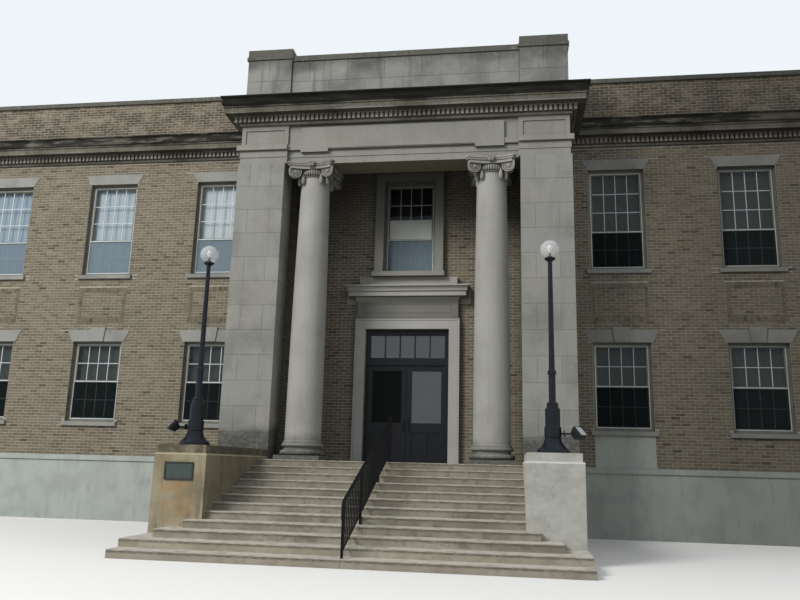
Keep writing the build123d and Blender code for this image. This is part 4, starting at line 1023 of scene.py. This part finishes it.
def courses(low, high, height):
    """The foot and head of each course of stones, inside its joints."""
    count = max(1, round((high - low) / height))
    levels = [low + (high - low) * index / count for index in range(count + 1)]
    return [(foot + stone_joint / 2, head - stone_joint / 2) for foot, head in zip(levels, levels[1:])]


# Piers of squared stone: whole courses, and courses with a narrow stone at each edge
shape = Shape()
low, high = pier_box
for side in (-1, 1):
    ends = sorted((side * (portico_half - pier_width), side * portico_half))
    for index, z in enumerate(courses(low[2], high[2], pier_course)):
        inner = (ends[0] + pier_edge_stone, ends[1] - pier_edge_stone) if index % 2 else ()
        cuts = (ends[0], *inner, ends[1])
        for start, end in zip(cuts, cuts[1:]):
            start += stone_joint / 2 if start > ends[0] else 0
            end -= stone_joint / 2 if end < ends[1] else 0
            shape.block((start, end), (low[1], high[1]), z)
    shape.core((ends[0], low[1], low[2]), (ends[1], high[1], high[2]))
made = shape.piece("pier_blocks", pier_stone, "limestone", bevel=0.002)
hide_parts("pilasters")


# Two courses of blocks round the attic, standing on the cornice
shape = Shape()
for node in ("attic_pedestals", "attic_walls"):
    for low, high in solid_boxes(node):
        long_x = high[0] - low[0] > high[1] - low[1] or node == "attic_pedestals"
        start, end = (low[0], high[0]) if long_x else (low[1], high[1])
        count = max(1, round((end - start) / attic_block))
        step = (end - start) / count
        for row, z in enumerate(courses(low[2], high[2], attic_course)):
            odd = row % 2
            cuts = (start, *(start + step * (index + odd / 2) for index in range(1 - odd, count)), end)
            for first, second in zip(cuts, cuts[1:]):
                run = (first + stone_joint / 2, second - stone_joint / 2)
                if long_x:
                    shape.block(run, (low[1], high[1]), z)
                else:
                    shape.block((low[0], high[0]), run, z)
        shape.core(low, high)
made = shape.piece("attic_blocks", attic_stone, "limestone", bevel=0.003)
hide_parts("attic_pedestals", "attic_walls")


# A bead over the door surround, a fillet on the crown and a panel's outline between them
shape = Shape()
foot = door_high[2]
half = hood_frieze_half + hood_strip
shape.box(front, (-half, half), (foot, foot + hood_bead), (2 * brick_proud, hood_frieze_out + 0.02))
half = hood_high[0] - hood_lip + hood_fillet
reach = -hood_low[1] - hood_lip + hood_fillet
shape.box(front, (-half, half), hood_fillet_levels, (2 * brick_proud, reach))
shape.border(front, *hood_panel, hood_strip, (hood_frieze_out - 0.001, hood_frieze_out + 0.007))
shape.piece("hood_mouldings", hood_stone, "limestone", bevel=0.003)


# Carving of the capitals: beads, an egg row, flowers on the abacus and husks beside the shaft

shape = Shape()
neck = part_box("column_capitals")[0][2] + volute_overhang
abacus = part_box("column_capitals")[1][2]
egg = [(0.001, -0.07), (0.014, -0.06), (0.025, -0.025), (0.027, 0.02), (0.018, 0.056), (0.001, 0.064)]
bead = [(0.001, -0.017), (0.014, -0.01), (0.018, 0.0), (0.014, 0.01), (0.001, 0.017)]
husk = [(0.001, -0.235), (0.02, -0.225), (0.044, -0.17), (0.046, -0.1)]
husk += [(0.032, -0.03), (0.02, 0.02), (0.001, 0.03)]
petal_places = ((0, -0.04), (-0.055, -0.035), (0.055, -0.035), (-0.03, -0.075), (0.03, -0.075))
petal = [(0.001, -0.05), (0.026, -0.035), (0.034, 0.0), (0.026, 0.035), (0.001, 0.05)]
for side in (-1, 1):
    axis = Vector((side * column_place[0], column_place[1], 0))

    def around(angle, radius, level):
        turn = math.radians(angle)
        return axis + Vector((radius * math.sin(turn), -radius * math.cos(turn), level))

    for count in range(40):
        shape.spun(around(9 * count, bead_ring_radius, neck + 0.017), bead, 8)
    for face in range(0, 360, 90):
        for step in range(-3, 4):
            shape.spun(around(face + 8.5 * step, echinus_radius - 0.008, neck + 0.1), egg, 10)
        for step in (-1, 1):
            shape.spun(around(face + 33 * step, shaft_radius + 0.055, neck + 0.06), husk, 12)
        for across, level in petal_places:
            turn = math.degrees(math.atan2(across, flower_radius))
            shape.spun(around(face + turn, flower_radius, abacus + level), petal, 10)
shape.piece("capital_carving", capital_stone, "limestone", smooth=True)


# Plaque and lamps

# A bare sheet in a border, on the front of the left cheek wall
wall = Wall((0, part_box("cheek_walls")[0][1], 0), (1, 0, 0), (0, -1, 0))
border, sheet = Shape(), Shape()
border.border(wall, *plaque_span, plaque_edge, (0, 0.022))
border.piece("plaque_border", bronze_dark, "post_iron", bevel=0.004)
inner = [(start + plaque_edge, end - plaque_edge) for start, end in plaque_span]
sheet.box(wall, *inner, (0, 0.012))
sheet.piece("plaque_sheet", bronze, "post_iron")


# A lens in the mouth of each floodlight
shape = Shape()
for side in (-1, 1):
    aim = Vector((side * flood_aim[0], flood_aim[1], flood_aim[2])).normalized()
    across = Vector((0, 0, 1)).cross(aim).normalized()
    rise = aim.cross(across)
    middle = Vector((side * (lamp_place[0] + flood_reach), lamp_place[1], flood_level))
    middle += aim * flood_depth
    corners = [
        middle + aim * reach + across * u * lens_half[0] + rise * v * lens_half[1]
        for reach in (-0.0105, -0.003)
        for u, v in ((-1, -1), (1, -1), (1, 1), (-1, 1))
    ]
    shape.add(corners, box_faces)
shape.piece("flood_lenses", lens_glass, "lamp_housing")


# A bulb in its holder in each globe
glass, cap = Shape(), Shape()
holder = [(0.0005, -0.004), (0.042, 0.0), (0.042, 0.03), (0.022, 0.034), (0.022, 0.085), (0.0005, 0.086)]
bulb = [(0.0005, 0.084), (0.018, 0.085), (0.022, 0.11), (0.040, 0.15)]
bulb += [(0.044, 0.18), (0.036, 0.212), (0.018, 0.23), (0.0005, 0.234)]
for low, high in solid_boxes("lamp_globes"):
    middle = (Vector(low) + Vector(high)) / 2
    foot = Vector((middle.x, middle.y, low[2]))
    cap.spun(foot, holder)
    glass.spun(foot, bulb)
glass.piece("lamp_bulbs", bulb_white, "globe_glass", smooth=True)
cap.piece("lamp_holders", housing_paint, "lamp_housing")


# Camera, light and floor

# The photograph's viewpoint: place, pitch up, turn to the left, roll and lens
place = Vector((2.374, -17.274, 1.432))
pitch, yaw, roll = (math.radians(angle) for angle in (12.209, 8.470, 1.457))
data = bpy.data.cameras.new("camera")
data.lens = 34.237
data.sensor_width = 36
data.clip_end = 500
made = in_scene("camera", data)
forward = Vector((-math.sin(yaw) * math.cos(pitch), math.cos(yaw) * math.cos(pitch), math.sin(pitch)))
side = Vector((math.cos(yaw), math.sin(yaw), 0))
up = side.cross(forward)
right_axis = side * math.cos(roll) + up * math.sin(roll)
up_axis = up * math.cos(roll) - side * math.sin(roll)
turn = Matrix((right_axis, up_axis, -forward)).transposed()
made.matrix_world = Matrix.Translation(place) @ turn.to_4x4()
bpy.context.scene.camera = made


def soft_lamp(name, kind, place, target, colour, **settings):
    """A soft light of a kind at a place, turned to a target."""
    data = bpy.data.lights.new(name, kind)
    data.color = colour
    for key, value in settings.items():
        setattr(data, key, value)
    made = in_scene(name, data)
    made.visible_glossy = False
    made.location = place
    made.rotation_euler = (Vector(target) - Vector(place)).to_track_quat("-Z", "Y").to_euler()


soft_lamp("key_light", "AREA", (-22, -28, 26), (-5, 0, 4), (1.0, 0.985, 0.96), size=14, energy=14600)
soft_lamp("fill_light", "SUN", (26, 22, 24), (0, 0, 0), (1.0, 0.99, 0.98), angle=math.radians(50), energy=1.3)


def shown_rays(tree):
    """One for what the camera sees, in the open, in gloss or through glass."""
    rays = add_node(tree, "ShaderNodeLightPath").outputs
    total = rays["Is Camera Ray"]
    for name in ("Is Glossy Ray", "Is Transmission Ray"):
        total = add_node(tree, "ShaderNodeMath", {0: total, 1: rays[name]}, operation="MAXIMUM").outputs[0]
    return total


# A floor that is pale to the camera and darker in the light that it throws back
data = bpy.data.meshes.new("floor")
size = 260
corners = [(-size, -size, 0), (size, -size, 0), (size, size, 0), (-size, size, 0)]
data.from_pydata(corners, [], [(0, 1, 2, 3)])
made = in_scene("floor", data)
made.location.z = -0.002
finish = Finish("floor_pale", 0.9)
pale = finish.mix((0.72, 0.72, 0.71, 1), (0.70, 0.70, 0.69, 1), finish.noise(0.6))
seen = finish.mix((0.24, 0.24, 0.23, 1), pale, shown_rays(finish.tree))
feed(finish.shader.inputs["Base Color"], seen)
data.materials.append(finish.material)


# Even sky light, and a pale sky behind the building
made = bpy.data.worlds.new("studio")
bpy.context.scene.world = made
made.use_nodes = True
tree = made.node_tree
light = tree.nodes["Background"]
light.inputs["Color"].default_value = (0.95, 0.98, 1.0, 1)
light.inputs["Strength"].default_value = 0.62
shown = add_node(tree, "ShaderNodeBackground", {"Color": (0.86, 0.91, 0.95, 1), "Strength": 1.0})
blend = {0: shown_rays(tree), 1: light.outputs[0], 2: shown.outputs[0]}
feed(tree.nodes["World Output"].inputs[0], add_node(tree, "ShaderNodeMixShader", blend).outputs[0])
bpy.context.scene.view_settings.view_transform = "Standard"
